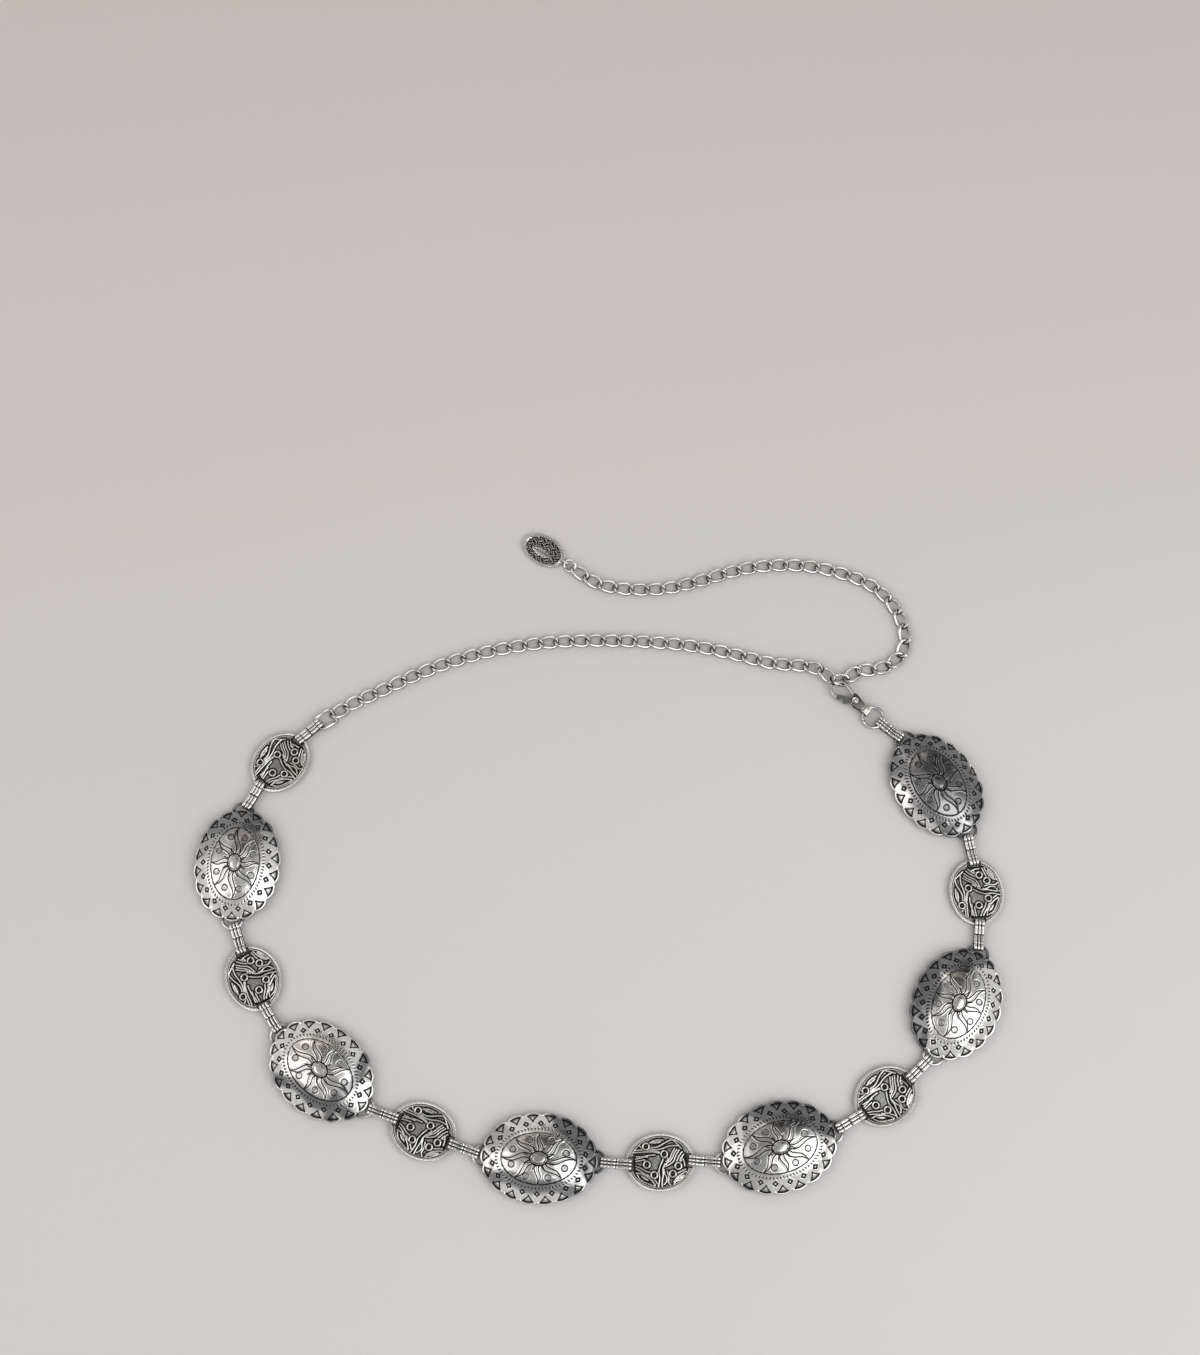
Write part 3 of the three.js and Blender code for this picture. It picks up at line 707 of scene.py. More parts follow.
plate = {
    "halfLength": 13.2, "halfWidth": 10.9,
    "base": 1.05, "top": 2.55, "ground": 1.80,
    "around": 372,
    "rim": {"teeth": 124, "lipAt": 0.865, "lipHalf": 0.022, "lipRise": 0.62, "lipBlack": 0.08,
            "bandFrom": (0.885, 0.905), "bandAt": 0.945, "bandHalf": 0.065, "bandRise": 0.45,
            "crown": 0.28, "notch": 0.18, "bandBlack": 0.02, "gapBlack": 0.50, "gapPower": 2},
    "slotAt": 11.05, "slotHalf": 0.9, "slotReach": 2.45,
    "strandRise": 0.42, "ringRise": 0.48, "dotRise": 0.20, "leafRise": 0.38,
    "rings": [(-5.1, 6.2), (1.7, 3.0), (-5.2, -0.5), (-2.6, -4.5), (6.8, -1.7), (4.5, -4.5)],
    "ringRadius": 1.22,
    # raised strands, as they grow over the plate
    "strands": [
        [(-4.0, 6.0), (-1.8, 5.6), (0.0, 6.0), (1.8, 7.0), (4.0, 8.0), (5.4, 8.1)],
        [(-3.6, 5.3), (-1.1, 4.7), (1.0, 5.0), (3.9, 6.0), (7.4, 5.8)],
        [(5.4, 8.1), (7.1, 6.3), (8.3, 4.7)],
        [(-9.4, 5.0), (-7.1, 5.1), (-3.2, 4.7), (0.3, 3.7)],
        [(-10.4, 4.2), (-7.5, 4.2), (-4.7, 4.2), (-1.9, 4.0), (0.4, 3.2)],
        [(-9.5, 1.7), (-7.3, 2.1), (-4.8, 2.9), (-1.9, 2.9)],
        [(-9.4, 0.9), (-7.0, 1.2), (-5.9, 1.3)],
        [(1.3, 1.6), (0.8, 0.4), (-0.3, -1.5), (-0.9, -3.6), (-0.5, -5.7), (-1.3, -9.0)],
        [(1.7, -0.6), (0.7, -2.6), (0.9, -4.4), (0.3, -6.5), (0.1, -9.2)],
        [(2.4, -3.4), (3.0, -5.6), (2.5, -7.4), (3.4, -8.6)],
        [(1.9, -1.6), (3.5, -1.0), (5.2, 0.1), (5.9, 2.0), (7.5, 4.2)],
        [(2.1, 0.2), (3.8, 1.2), (4.5, 3.0), (5.8, 4.9)],
        [(5.4, -1.3), (6.5, 0.4), (7.3, 2.1), (8.6, 3.5)],
        [(7.7, -0.6), (7.6, 0.9), (9.2, 2.5)],
        [(-9.4, -0.9), (-7.6, -1.6), (-5.9, -2.9), (-4.2, -3.4)],
        [(-9.3, -1.9), (-7.8, -2.7), (-5.8, -4.3), (-4.1, -5.2)],
        [(-9.4, -3.4), (-6.9, -3.8), (-3.9, -6.1), (-2.4, -8.4)],
        [(-9.0, -4.2), (-8.2, -6.0), (-5.4, -7.6), (-2.8, -8.6)],
        [(4.6, -8.4), (6.2, -6.3), (9.0, -4.9), (8.3, -6.2), (6.4, -7.9)],
        [(-3.6, 7.4), (-1.6, 8.4), (1.6, 8.2)],
        [(-7.6, 6.6), (-6.6, 5.6), (-5.6, 4.9)],
        [(2.0, -0.7), (3.6, 0.1), (4.8, 1.5), (5.5, 3.1), (6.6, 4.4)],
        [(8.4, 1.5), (9.2, 0.0), (9.3, -1.8)],
        [(6.3, -4.4), (8.1, -3.6), (9.6, -3.0)],
        [(4.7, -7.5), (6.0, -5.8), (8.2, -4.5), (9.7, -3.9)],
        [(1.3, -2.8), (1.2, -4.1), (2.1, -5.5), (2.1, -7.0), (0.9, -8.3)],
        [(-5.2, -4.2), (-3.5, -5.7), (-2.2, -6.7), (-1.6, -7.8)],
        [(2.6, 1.9), (3.2, 0.4), (2.1, -0.9)],
        [(6.0, -0.8), (7.2, -0.2), (8.3, 0.4)],
        [(-9.0, 2.6), (-6.9, 2.5), (-4.8, 2.3)],
    ],
    # place, half length, half width, turn
    "leaves": [((-1.0, 7.5), 2.3, 0.55, 5), ((6.9, -6.6), 1.9, 0.6, 38), ((-6.4, -5.4), 2.2, 0.55, -38)],
}


def fromSlots(x, y, halfWide, reach):
    # distance outside the nearer slot, negative in it
    return np.maximum(np.abs(np.abs(x) - plate["slotAt"]) - halfWide, np.abs(y) - reach)


def plateRelief(x, y, share, turn):
    away = np.full(x.shape, 1e9)
    for points in plate["strands"]:
        away = np.minimum(away, distanceToLine(x, y, softened(points)))
    raised = plate["strandRise"] * fall(away, 0.08, 0.44)
    gap = away - 0.30  # how far the ground is from what is raised beside it
    for (leafX, leafY), half, wide, angle in plate["leaves"]:
        along, across = spun(x - leafX, y - leafY, -angle)
        leaf = 1 - (along / half) ** 2 - np.abs(across / wide)
        raised = np.maximum(raised, plate["leafRise"] * smoothStep(leaf, -0.1, 0.45))
        gap = np.minimum(gap, -leaf * wide)
    radius = plate["ringRadius"]
    for ringX, ringY in plate["rings"]:
        middle = np.hypot(x - ringX, y - ringY)
        raised = np.where(middle < radius + 0.5, 0, raised)
        raised = np.maximum(raised, plate["ringRise"] * fall(np.abs(middle - radius), 0.12, 0.46))
        raised = np.maximum(raised, plate["dotRise"] * fall(middle, 0.1, 0.5))
        gap = np.where(middle < radius, 0.1, gap)
        gap = np.minimum(gap, np.abs(middle - radius) - 0.3)
    # black beside what is raised, worn to grey in the wider spaces
    worn = 0.96 - 0.50 * smoothStep(gap, 0.20, 0.66)
    dark = worn * fall(raised, 0.12, 0.28)
    z, dark = milledRim(plate["rim"], plate["ground"], share, turn, plate["ground"] + raised, dark)
    # black round the slots, and further out of them towards the middle
    slotAway = fromSlots(x, y, plate["slotHalf"], plate["slotReach"])
    slotAway = np.where(np.abs(x) < plate["slotAt"] - plate["slotHalf"], slotAway - 0.45, slotAway)
    dark = np.maximum(dark, 0.95 * fall(slotAway, 0.05, 0.25))
    return np.minimum(z, plate["top"]), dark


def plateMaster():
    under = [(0.30, -1.0), (0.97, -1.0), (1.0, -0.8), (1.0, -0.4)]
    sheet = ringSheet("plateMaster", plate["around"],
                      under + topRings((0.998, 0.998, 1), (0.985, 0.84, 13), (0.826, 0.02, 56)))
    share, turn, layer = sheetPlaces(sheet)
    a, b = plate["halfLength"], plate["halfWidth"]
    x, y = a * share * np.cos(turn), b * share * np.sin(turn)
    z, dark = plateRelief(x, y, share, turn)
    for level, height in ((-1.0, plate["base"]), (-0.8, plate["base"] + 0.25), (-0.4, plate["ground"] + 0.10)):
        z = np.where(layer == level, height, z)
    # the milled teeth run a little down the side
    notch = 0.035 * (1 - np.cos(turn * plate["rim"]["teeth"])) * ((layer > -0.9) & (share > 0.96))
    setPlaces(sheet, x - notch * np.cos(turn), y - notch * np.sin(turn), z)
    outwards(sheet)
    # the two slots are cut through
    for side in (1, -1):
        clearSelection()
        bpy.ops.mesh.primitive_cube_add(size=1, location=(side * plate["slotAt"] * mm, 0, 1.8 * mm))
        cutter = bpy.context.object
        cutter.scale = (2 * plate["slotHalf"] * mm, 2 * plate["slotReach"] * mm, 3 * mm)
        bpy.ops.object.transform_apply(location=True, scale=True)
        roundEdges(cutter, 0.3, 3)
        carve(sheet, cutter)
    x, y, z = placesOf(sheet)
    dark = plateRelief(x, y, np.hypot(x / a, y / b), np.arctan2(y / b, x / a))[1]
    dark = np.where(z < plate["ground"] - 0.05, 0.55, dark)
    # painted shade: the slot walls and their edges are made black
    setPatinaAndShade(sheet, np.where(fromSlots(x, y, 1.0, 2.6) < 0.1, 0.98, dark))
    smoothed(sheet, 50)
    return sheet


connector = {
    "length": 12.6, "middle": 1.8,
    # from the tip to the seam: distance, rise over the middle line
    "upper": [(0, 0.55), (0.12, 1.0), (0.4, 1.45), (0.85, 1.74), (1.3, 1.8), (2.1, 1.78),
              (2.45, 1.66), (2.55, 1.46), (2.70, 1.46), (2.80, 1.56), (3.3, 1.42),
              (4.0, 1.34), (5.4, 1.36), (5.95, 1.30), (6.18, 1.12), (6.3, 0.98)],
    "lower": [(0, -0.55), (0.12, -1.0), (0.4, -1.45), (0.85, -1.74), (1.3, -1.8), (3.2, -1.8), (6.3, -1.8)],
    "eye": [(1.25, 0.5), (0.95, 0.85), (0.5, 1.0), (-0.5, 1.0), (-0.95, 0.75), (-1.25, 0.35)],
    "eyeCentre": 4.4,
    # from one side of the strap to its middle: place, share of the rise
    "ribs": [(-1.90, 0.66), (-1.82, 0.84), (-1.55, 0.97), (-1.25, 1.0), (-0.95, 0.96), (-0.72, 0.84),
             (-0.62, 0.72), (-0.52, 0.84), (-0.28, 0.97), (0, 1.0)],
    "grooveAt": 0.62, "stepAt": 3.68,
}


def drawnSheet(name, outlines):
    # closed outlines drawn in the ground plane and filled, holes left open
    parts = []
    for points in outlines:
        clearSelection()
        bpy.ops.mesh.primitive_circle_add(vertices=len(points), radius=mm, fill_type="NOTHING")
        parts.append(bpy.context.object)
        setPlaces(parts[-1], *np.array(points, float).T, 0)
    sheet = joined(name, parts)
    openMesh()
    if len(outlines) == 1:
        bpy.ops.mesh.edge_face_add()
    else:
        bpy.ops.mesh.fill()
    closeMesh()
    return sheet


def connectorMaster():
    half = connector["length"] / 2
    right = [(half - away, rise) for away, rise in connector["upper"]]
    left = [(-x, z) for x, z in right[:-1]][::-1]
    footRight = [(half - away, rise) for away, rise in connector["lower"]]
    footLeft = [(-x, z) for x, z in footRight[:-1]]
    # counter-clockwise: along the top from right to left, back along the bottom
    outlines = [right + left + footLeft + footRight[::-1]]
    for side in (1, -1):
        eye = [(side * (connector["eyeCentre"] + x), z) for x, z in connector["eye"]]
        outlines.append(eye + [(x, -z) for x, z in eye][::-1])
    strap = drawnSheet("connectorMaster", outlines)
    openMesh()
    across, share = 0, 1
    ribs = connector["ribs"] + [(-place, part) for place, part in connector["ribs"][:-1]][::-1]
    for number, (nextAcross, nextShare) in enumerate(ribs):
        step = (0, 0, (nextAcross - across) * mm)
        if number:
            bpy.ops.mesh.extrude_region_move(TRANSFORM_OT_translate={"value": step})
        else:
            bpy.ops.transform.translate(value=step)
        bpy.ops.transform.resize(value=(1, nextShare / share, 1), center_override=(0, 0, 0))
        across, share = nextAcross, nextShare
    closeMesh()
    standUp(strap, connector["middle"])
    smoothed(strap, 60)
    x, y, z = placesOf(strap)
    groove = line(np.abs(np.abs(y) - connector["grooveAt"]), 0.30, 0.25)
    step = line(np.abs(np.abs(x) - connector["stepAt"]), 0.22, 0.2)
    seam = line(np.abs(x), 0.30, 0.2)
    dark = np.maximum(np.maximum(0.95 * groove, 0.75 * step), 0.8 * seam)
    setPatinaAndShade(strap, np.where(z < 1.9, 0.4, dark) + 0.04)
    sidePaintedShade(strap, 0.8, 0.0, 0.45)
    return strap


belt = {
    "shift": (0.6033, -0.3884),  # brings the loop's middle over the origin
    "start": (-129.2, 37.7),
    "plateReach": 12.6, "bailCentre": 21.4, "bailPull": 3.6,
    "connectorReach": 8.8, "firstTurn": 41.0, "claspTurn": 138.0,
    # turn of the piece, turn of the connector after it
    "run": [(-129, -118.5), (-93, -71), (-65.5, -57.5), (-39.5, -19.5), (-23.5, -19.5), (-3, -4.5),
            (3.5, -4.5), (15.5, 30), (35.5, 43.5), (63.5, 84), (92.5, 100.5), (122, 141)],
    "flipped": (0, 2),
}

conchoModel = conchoMaster()
print("concho modelled:", len(conchoModel.data.polygons), "faces")
plateModel = plateMaster()
print("plate modelled:", len(plateModel.data.polygons), "faces")
connectorModel = connectorMaster()
print("connector modelled:", len(connectorModel.data.polygons), "faces")


def paintDarkReflections(piece, order, centre):
    # painted dark reflections, laid differently on each concho
    x, y, z = placesOf(piece)
    x, y = x - centre[0], y - centre[1]
    darkReflection = np.zeros(len(x))
    for towards, offset, soft, strength, end in concho["paintedDarkReflection"][order]:
        reach, aside = spun(x, y, -towards)
        reach = reach + 1.1 * np.sin(0.31 * aside + 1.7 * order)
        within = smoothStep(reach, offset - soft, offset + soft) * fall(reach, end - 1, end + 1)
        darkReflection = np.maximum(darkReflection, strength * within)
    setPatinaAndShade(piece, darkReflection, "paintedDarkReflection")


def connectorAt(number, place, turn):
    step = heading(turn) * belt["connectorReach"]
    piece = copyOf(connectorModel, f"ribbedConnector_{number}")
    moved(piece, *(place + step / 2), turn=turn)
    dress(piece, "polished_silver", f"connector_{number}")
    return place + step


def layBelt():
    # plates and conchos take turns, with a connector after each
    arriving = belt["run"][0][0]
    joint = np.array(belt["start"]) + belt["shift"] - heading(arriving) * belt["plateReach"]
    chainStart = connectorAt(1, joint, belt["firstTurn"])
    for index, (turn, linkTurn) in enumerate(belt["run"]):
        order = index // 2 + 1
        if index % 2 == 0:
            centre = joint + heading(turn) * belt["plateReach"]
            leaving = centre + heading(turn) * belt["plateReach"]
            piece = copyOf(plateModel, f"ovalPlate_{order}")
            moved(piece, *centre, turn=turn + 180 if index in belt["flipped"] else turn)
            dress(piece, "dark_silver", f"plate_{order}")
        else:
            centre = joint + heading(turn) * belt["bailCentre"] + heading(arriving) * belt["bailPull"]
            leaving = centre + heading(turn) * belt["bailCentre"] + heading(linkTurn) * belt["bailPull"]
            piece = copyOf(conchoModel, f"sunConcho_{order}")
            moved(piece, *centre, turn=turn)
            paintDarkReflections(piece, order, centre)
            dress(piece, "polished_silver", f"concho_{order}")
        joint = connectorAt(index + 2, leaving, linkTurn)
        arriving = linkTurn
    return chainStart, joint


chainStart, lastJoint = layBelt()
for model in (conchoModel, plateModel, connectorModel):
    bpy.data.objects.remove(model)
print("belt laid")


rings = {
    "claspRing": {"radius": 4.2, "wire": 1.3, "height": 1.85, "seam": 200},
    "tagRing": {"radius": 2.4, "wire": 1.0, "height": 1.7, "seam": 60, "tilt": -29, "turn": 145},
}
# strength and bounds of the painted shade down the sides of the wires
wireSidePaintedShade = (0.85, 0.05, 0.58)


def wireRing(name, values, steps=72, sides=20):
    # a bent wire ring with the fine line where its ends meet
    radius, wire = values["radius"], values["wire"]
    ring = torus(radius, wire, steps, sides)
    ring.name = name
    x, y, z = placesOf(ring)
    angle = np.degrees(np.arctan2(y, x)) % 360
    step = 360 / steps
    seamAt = round(values["seam"] / step) * step
    openAt(ring, np.abs(angle - seamAt) < step * 0.3)
    bpy.ops.transform.resize(value=(0.92, 0.92, 0.84), center_override=(*heading(seamAt) * radius * mm, 0))
    closeMesh()
    smoothed(ring)
    near = line(np.abs(angle - seamAt), step * 1.1, step)
    inner = np.clip((radius - np.hypot(x, y)) / (wire / 2), 0, 1)
    setPatinaAndShade(ring, 0.06 + 0.6 * near + 0.25 * inner)
    return ring


values = rings["claspRing"]
ringCentre = lastJoint + heading(belt["run"][-1][1]) * (values["radius"] - 0.3)
claspRing = wireRing("claspRing", values)
moved(claspRing, *ringCentre, values["height"])
sidePaintedShade(claspRing, *wireSidePaintedShade)
dress(claspRing, "clasp_silver", "clasp_ring")
print("clasp ring made")


clasp = {
    "height": 2.35, "halfThick": 1.5, "clawHalf": 0.5, "eyeBack": 5.8,
    "block": [(-4.6, -1.5), (-1.5, -2.1), (1.4, -2.7), (2.6, -1.9), (1.8, 0.4), (0.8, 2.2),
              (-1.5, 2.1), (-4.6, 1.5)],
    "cheekSlot": [(-1.4, -1.4), (0, -1.9), (3, -1.1), (3, 3), (-1.9, 3), (-1.9, 0)],
    "cheekGap": 0.95,
    "clawCentre": (7.5, 0.2), "clawOuter": 4.0, "clawInner": 2.9,
    # the washer size is the radius of a black disc painted as shade round the rivet's head
    "rivet": 0.55, "head": 1.4, "headRise": 0.35, "rivetShadeDisc": 1.72,
    "lever": [(0.4, -0.9), (3.0, 0.5), (5.6, 1.7), (7.05, 2.7), (6.6, 3.75), (6.05, 4.55), (5.5, 4.4),
              (5.1, 3.4), (3.7, 3.0), (3.1, 3.9), (2.3, 4.0), (1.8, 2.9), (0, 1.35)],
    "leverHalf": 0.65, "leverDisc": 1.4, "leverBore": 0.85,
    "eyeRadius": 1.95, "eyeWidth": 3.4, "ridges": 7, "ridgeDepth": 0.11,
}


def slab(name, outlines, low, high):
    # outlines filled and raised from one height to another
    piece = drawnSheet(name, outlines)
    openMesh()
    bpy.ops.transform.translate(value=(0, 0, low * mm))
    bpy.ops.mesh.extrude_region_move(TRANSFORM_OT_translate={"value": (0, 0, (high - low) * mm)})
    closeMesh()
    outwards(piece)
    return piece


def arcPoints(centre, radius, fromTurn, toTurn, steps):
    return [tuple(np.array(centre) + heading(turn) * radius) for turn in np.linspace(fromTurn, toTurn, steps)]


def claspEye():
    # a barrel with ridges round it
    centre, steps = -clasp["eyeBack"], clasp["ridges"] * 8
    outline = []
    for turn in np.arange(steps) * 360 / steps:
        radius = clasp["eyeRadius"] - clasp["ridgeDepth"] * (1 - heading(turn * clasp["ridges"])[0])
        outline.append(heading(turn) * radius + (centre, 0))
    hole = [heading(turn) * (1.25, 1) + (centre - 0.15, 0) for turn in range(0, 360, 15)]
    eye = slab("claspEye", [outline, hole], -clasp["eyeWidth"] / 2, clasp["eyeWidth"] / 2)
    standUp(eye, clasp["eyeRadius"])
    roundEdges(eye, 0.18, 2, 50)
    return eye


def rivetHead(top):
    # a raised ring round a dished middle
    head = cylinder(clasp["head"], 0.45, top + clasp["headRise"] - 0.225, 48)
    openAt(head, placesOf(head)[2] > top + 0.1)
    for inset, rise in ((0.45, 0), (0.22, -0.3), (0.3, 0.16)):
        bpy.ops.mesh.inset(thickness=inset * mm)
        bpy.ops.transform.translate(value=(0, 0, rise * mm))
    closeMesh()
    roundEdges(head, 0.12, 3, 30)
    return head


def claspBody():
    height, gap, claw = clasp["height"], clasp["cheekGap"], clasp["clawHalf"]
    low, high = height - clasp["halfThick"], height + clasp["halfThick"]
    block = slab("claspBlock", [softened(clasp["block"], 0.22, True)], low, high)
    carve(block, slab("cheekCutter", [clasp["cheekSlot"]], height - gap, height + gap))
    roundEdges(block, 0.45, 4, 50)
    flatTopDarkReflection(block, 0.50, high)
    hook = [(0.8, -2.55)] + arcPoints(clasp["clawCentre"], clasp["clawOuter"], -112, 101, 32)
    hook += arcPoints(clasp["clawCentre"], clasp["clawInner"], 95, -116, 28) + [(2.2, -1.2)]
    hook = slab("claw", [hook], height - claw, height + claw)
    roundEdges(hook, 0.30, 3, 50)
    pin = cylinder(clasp["rivet"], 2 * clasp["halfThick"] - 0.2, height, 32)
    roundEdges(pin, 0.15, 2)
    head = rivetHead(high)
    # a thin black disc laid as painted shade in the gap round the rivet's head
    rivetShadeDisc = cylinder(clasp["rivetShadeDisc"], 0.2, high - 0.06, 48)  # the dark gap round the rivet's head
    body = joined("claspBody", [block, hook, pin, head, rivetShadeDisc, claspEye()])
    smoothed(body, 45)
    hollowTarnishAndShade(body, 2.2, 0.08)
    x, y, z = placesOf(body)
    # the disc's top is painted black as the shade of the gap
    onRivetShadeDisc = (np.abs(z - high - 0.04) < 0.02) & (np.hypot(x, y) < clasp["rivetShadeDisc"] + 0.08)
    setPatinaAndShade(body, np.where(onRivetShadeDisc, 0.98, patinaAndShadeOf(body)))
    return body


def claspLever():
    height, half = clasp["height"], clasp["leverHalf"]
    lever = slab("claspLever", [softened(clasp["lever"], 0.22, True)], height - half, height + half)
    carve(lever, cylinder(clasp["leverDisc"], 2 * half, height, 40), "UNION")
    carve(lever, cylinder(clasp["leverBore"], 3, height, 32))
    roundEdges(lever, 0.25, 3, 50)
    smoothed(lever, 45)
    hollowTarnishAndShade(lever, 2.0, 0.06)
    flatTopDarkReflection(lever, 0.62, height + half)
    return lever


rivetPlace = ringCentre + heading(belt["claspTurn"]) * (rings["claspRing"]["radius"] + clasp["eyeBack"])
for piece, body, node in ((claspBody(), "belt", "clasp_body"), (claspLever(), "lever", "clasp_lever")):
    moved(piece, *rivetPlace, turn=belt["claspTurn"])
    sidePaintedShade(piece, 0.78, 0.1, 0.6)
    dress(piece, "clasp_silver", node, body=body)
print("clasp made")


chain = {
    "pitch": 6.5, "wire": 1.2, "halfWidth": 2.25, "twist": 0.85, "slack": 0.13, "floor": 1.46,
    "firstLink": {"halfWidth": 3.0, "squareness": 4.0}, "firstHeight": 1.8, "firstTurn": 36.0,
    "steps": 30, "sides": 11, "blank": 10.0,
    "closed": [(-101.3, 62.0), (-89.6, 67.5), (-73.8, 75.1), (-57.5, 81.1), (-41.1, 85.3), (-20.0, 88.3),
               (0.8, 89.0), (20.0, 88.4), (41.2, 86.2), (57.5, 82.6), (72.0, 79.0)],
    "tail": [(114.0, 76.6), (121.0, 80.0), (125.1, 85.0), (125.8, 91.0), (124.5, 97.3), (122.0, 103.0),
             (118.4, 108.0), (113.0, 112.6), (107.0, 115.7), (94.5, 119.7), (83.3, 121.5), (67.6, 121.2),
             (54.4, 118.7), (41.6, 114.7), (28.6, 111.6), (16.1, 110.9), (3.5, 112.2), (-2.6, 114.2),
             (-7.4, 117.6), (-11.0, 120.2)],
    "held": {"along": 0.25, "across": 4.05, "height": 2.52, "lean": 1.2, "turn": 5.0},
    "tailSlack": 0.3,
}


def smoothRoute(points, steps=160):
    # centripetal spline through the points
    points = [np.array(p, float) for p in points]
    points = [2 * points[0] - points[1]] + points + [2 * points[-1] - points[-2]]
    route = []
    for before, start, end, after in zip(points, points[1:], points[2:], points[3:]):
        first, here, last = [max(np.linalg.norm(q - p) ** 0.5, 1e-4)
                             for p, q in ((before, start), (start, end), (end, after))]
        leave = ((start - before) / first - (end - before) / (first + here) + (end - start) / here) * here
        arrive = ((end - start) / here - (after - start) / (here + last) + (after - end) / last) * here
        for share in np.arange(steps) / steps:
            square, cube = share ** 2, share ** 3
            route.append((2 * cube - 3 * square + 1) * start + (cube - 2 * square + share) * leave
                         + (3 * square - 2 * cube) * end + (cube - square) * arrive)
    route.append(points[-2])
    return np.array(route)


def jointsAlong(start, route, end):
    # the places where the links of a chain meet, evenly along its route
    onFloor = [(x + belt["shift"][0], y + belt["shift"][1], chain["floor"]) for x, y in route]
    curve = smoothRoute(start + onFloor + end)
    walked = np.concatenate([[0], np.cumsum(np.linalg.norm(np.diff(curve, axis=0), axis=1))])
    marks = np.linspace(0, walked[-1], round(walked[-1] / chain["pitch"]) + 1)
    return list(np.stack([np.interp(marks, walked, curve[:, axis]) for axis in range(3)], 1))


def bentLink(blank, pitch, halfWidth, squareness, flatStart):
    # bends the plain ring into a curb link along X, from the ring's own angle and section
    halfLength = (pitch + chain["wire"] + chain["slack"]) / 2

    def centreAt(angle):
        cos, sin = np.cos(angle), np.sin(angle)
        power = 2 / squareness
        twist = chain["twist"] * np.sin(2 * angle) * ((cos >= 0) if flatStart else 1)
        return np.stack([halfLength * np.sign(cos) * np.abs(cos) ** power,
                         halfWidth * np.sign(sin) * np.abs(sin) ** power, twist], 1)

    x, y, z = blank
    angle = np.arctan2(y, x)
    inward = chain["blank"] - np.hypot(x, y)
    tangent = centreAt(angle + 0.05) - centreAt(angle - 0.05)
    tangent /= np.linalg.norm(tangent, axis=1)[:, None]
    side = np.cross(tangent, (0, 0, 1))
    side /= np.linalg.norm(side, axis=1)[:, None]
    rise = np.cross(side, tangent)
    return (centreAt(angle) + side * inward[:, None] - rise * z[:, None]).T


def chainOf(name, joints, firstLink=None):
    blankRing = torus(chain["blank"], chain["wire"], chain["steps"], chain["sides"])
    blank = placesOf(blankRing)
    inner = np.clip((chain["blank"] - np.hypot(*blank[:2])) / (chain["wire"] / 2), -1, 1)
    bend = smoothStep(np.abs(np.cos(np.arctan2(blank[1], blank[0]))), 0.72, 0.98)
    links = []
    for index, (start, end) in enumerate(zip(joints[:-1], joints[1:])):
        along, middle = end - start, (start + end) / 2
        first = firstLink if index == 0 and firstLink else {}
        x, y, z = bentLink(blank, np.linalg.norm(along), first.get("halfWidth", chain["halfWidth"]),
                           first.get("squareness", 2.0), bool(first))
        x, z = spun(x, z, math.degrees(math.atan2(along[2], math.hypot(along[0], along[1]))))
        x, y = spun(x, y, math.degrees(math.atan2(along[1], along[0])))
        link = copyOf(blankRing, f"link_{index}")
        setPlaces(link, x + middle[0], y + middle[1], z + middle[2])
        # painted shade where the links bend round each other, on their inner sides
        setPatinaAndShade(link, 0.06 + 0.75 * bend * np.clip(inner + 0.35, 0, 1))
        links.append(link)
    bpy.data.objects.remove(blankRing)
    whole = joined(name, links)
    smoothed(whole)
    outwards(whole)
    sidePaintedShade(whole, *wireSidePaintedShade)
    return whole


def nextJoint(start, turn, height):
    return np.array([*(start[:2] + heading(turn) * chain["pitch"]), height])


# the link that the clasp holds leans through the claw, and both chains start from it
held = chain["held"]
window = rivetPlace + spun(*clasp["clawCentre"], belt["claspTurn"])
heldMiddle = window + spun(held["along"], held["across"], held["turn"])
heldHalf = heading(held["turn"]) * math.sqrt(chain["pitch"] ** 2 / 4 - held["lean"] ** 2)
heldStart = np.array([*(heldMiddle - heldHalf), held["height"] + held["lean"]])
heldEnd = np.array([*(heldMiddle + heldHalf), held["height"] - held["lean"]])
comingDown = nextJoint(heldStart, 135, heldStart[2] - 0.9)
wireReach = heading(chain["firstTurn"]) * (chain["wire"] + chain["slack"]) / 2
chainFoot = np.array([*(chainStart + wireReach), chain["firstHeight"]])
closedJoints = jointsAlong([chainFoot], chain["closed"],
                           [nextJoint(comingDown, 162, chain["floor"]), comingDown]) + [heldStart, heldEnd]
waistChain = chainOf("waistChain", closedJoints, chain["firstLink"])
dress(waistChain, "chain_silver", "waist_chain")
tailJoints = [heldEnd + (heldStart - heldEnd) * chain["tailSlack"] / chain["pitch"]]
tailJoints += jointsAlong([nextJoint(heldEnd, 42, chain["floor"])], chain["tail"], [])
tailChain = chainOf("tailChain", tailJoints)
dress(tailChain, "chain_silver", "tail_chain")
print("chains made:", len(closedJoints) - 1, "and", len(tailJoints) - 1, "links")


values = rings["tagRing"]
tagRingCentre = tailJoints[-1][:2] + heading(values["turn"]) * (values["radius"] - 0.6)
tagRing = wireRing("tagRing", values, 48, 14)
moved(tagRing, *tagRingCentre, values["height"], values["turn"], values["tilt"])
sidePaintedShade(tagRing, *wireSidePaintedShade)
dress(tagRing, "clasp_silver", "tag_ring")

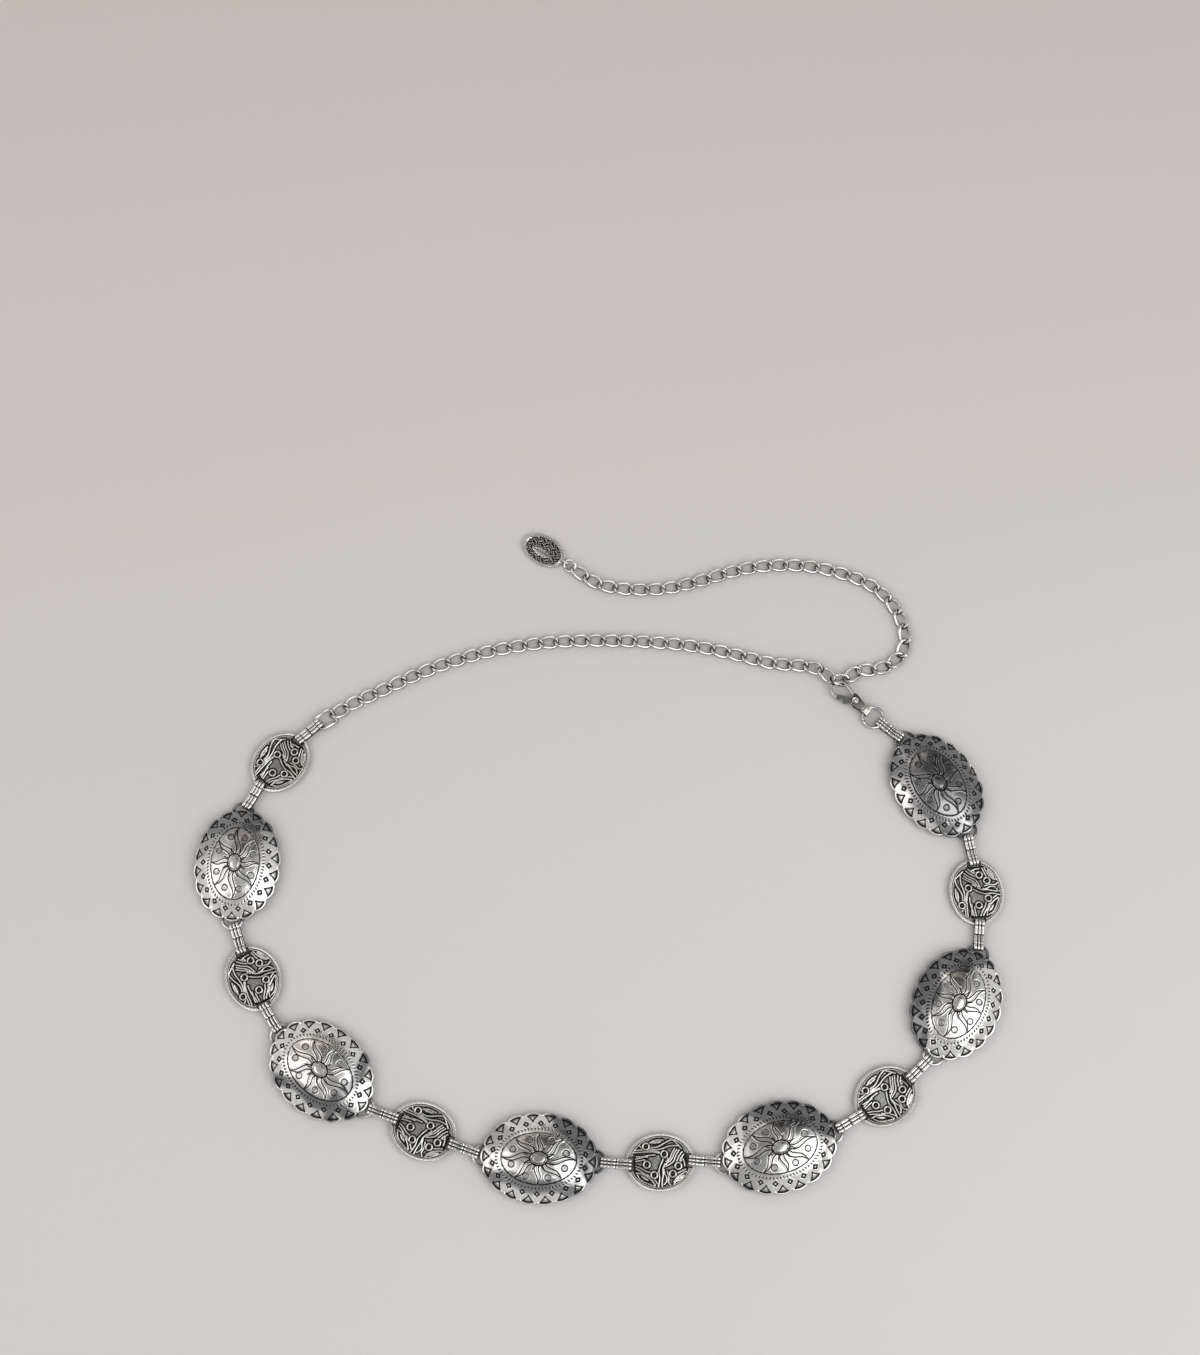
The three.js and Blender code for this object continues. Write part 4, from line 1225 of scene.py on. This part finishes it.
tag = {
    "halfLength": 9.75, "halfWidth": 6.3, "turn": 148.0,
    "rimTop": 1.7, "ground": 1.05, "around": 288,
    "rim": {"teeth": 72, "lipAt": 0.845, "lipHalf": 0.03, "lipRise": 0.48, "lipBlack": 0.10,
            "bandFrom": (0.872, 0.89), "bandAt": 0.94, "bandHalf": 0.07, "bandRise": 0.38,
            "crown": 0.27, "notch": 0.16, "bandBlack": 0.08, "gapBlack": 0.6, "gapPower": 1.5},
    "eye": {"radius": 1.35, "wire": 0.8, "seam": 0},
    "leaf": {"half": 5.4, "wide": 1.9, "rise": 0.50, "place": (0.2, 1.1), "ribPitch": 1.3},
}
tagEyeReach = tag["halfLength"] + tag["eye"]["radius"] - 0.5


def tagPiece():
    under = [(0.30, -1.0), (0.96, -1.0), (1.0, -0.8), (1.0, -0.4)]
    sheet = ringSheet("tag", tag["around"],
                      under + topRings((0.997, 0.997, 1), (0.98, 0.82, 11), (0.80, 0.03, 34)))
    share, turn, layer = sheetPlaces(sheet)
    x = tag["halfLength"] * share * np.cos(turn)
    y = tag["halfWidth"] * share * np.sin(turn)
    # hammered ground, from crossed waves
    ground = tag["ground"]
    grain = np.sin(4.9 * x + 1.3 * np.sin(2.3 * y)) * np.sin(5.4 * y + 1.7 * np.sin(1.9 * x))
    z = ground + 0.16 * grain
    dark = 0.90 - 0.80 * smoothStep(grain, 0.05, 0.6)
    # a leaf with veins lies on it
    leaf = tag["leaf"]
    leafX, leafY = x - leaf["place"][0], y - leaf["place"][1]
    along = leafX / leaf["half"]
    blade = np.clip(1 - along ** 2, 0, 1) - np.abs(leafY / leaf["wide"])
    onLeaf = smoothStep(blade, 0.0, 0.25)
    vein = line(np.abs(leafY), 0.28) * (np.abs(along) < 0.9)
    ribs = (leafX * 0.9 - np.abs(leafY) * 0.8 + 20) % leaf["ribPitch"] - leaf["ribPitch"] / 2
    vein = np.maximum(vein, 0.7 * line(np.abs(ribs), 0.26))
    lift = leaf["rise"] * np.clip(0.45 + 0.55 * blade, 0, 1) - 0.14 * vein
    z = z * (1 - onLeaf) + (ground + lift) * onLeaf
    dark = dark * (1 - onLeaf) + onLeaf * (0.06 + 0.75 * vein)
    z, dark = milledRim(tag["rim"], ground, share, turn, z, dark)
    z = np.minimum(z, tag["rimTop"])
    for level, height in ((-1.0, 0.0), (-0.8, 0.25), (-0.4, ground)):
        z = np.where(layer == level, height, z)
    setPlaces(sheet, x, y, z)
    setPatinaAndShade(sheet, np.where(layer < 0, 0.3, dark))
    outwards(sheet)
    smoothed(sheet, 50)
    eye = wireRing("tagEye", tag["eye"], 36, 12)
    standUp(eye, tag["eye"]["radius"] + tag["eye"]["wire"] / 2, -tagEyeReach)
    return joined("reliefTag", [sheet, eye])


tagModel = tagPiece()
moved(tagModel, *(tagRingCentre + heading(tag["turn"]) * (rings["tagRing"]["radius"] + tagEyeReach)),
      turn=tag["turn"])
dress(tagModel, "dark_silver", "tag")
print("tag made")

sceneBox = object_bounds()
asLists = lambda box: [[float(value) for value in corner] for corner in box]
{"cad": asLists(cadBox), "visual": asLists(sceneBox)}
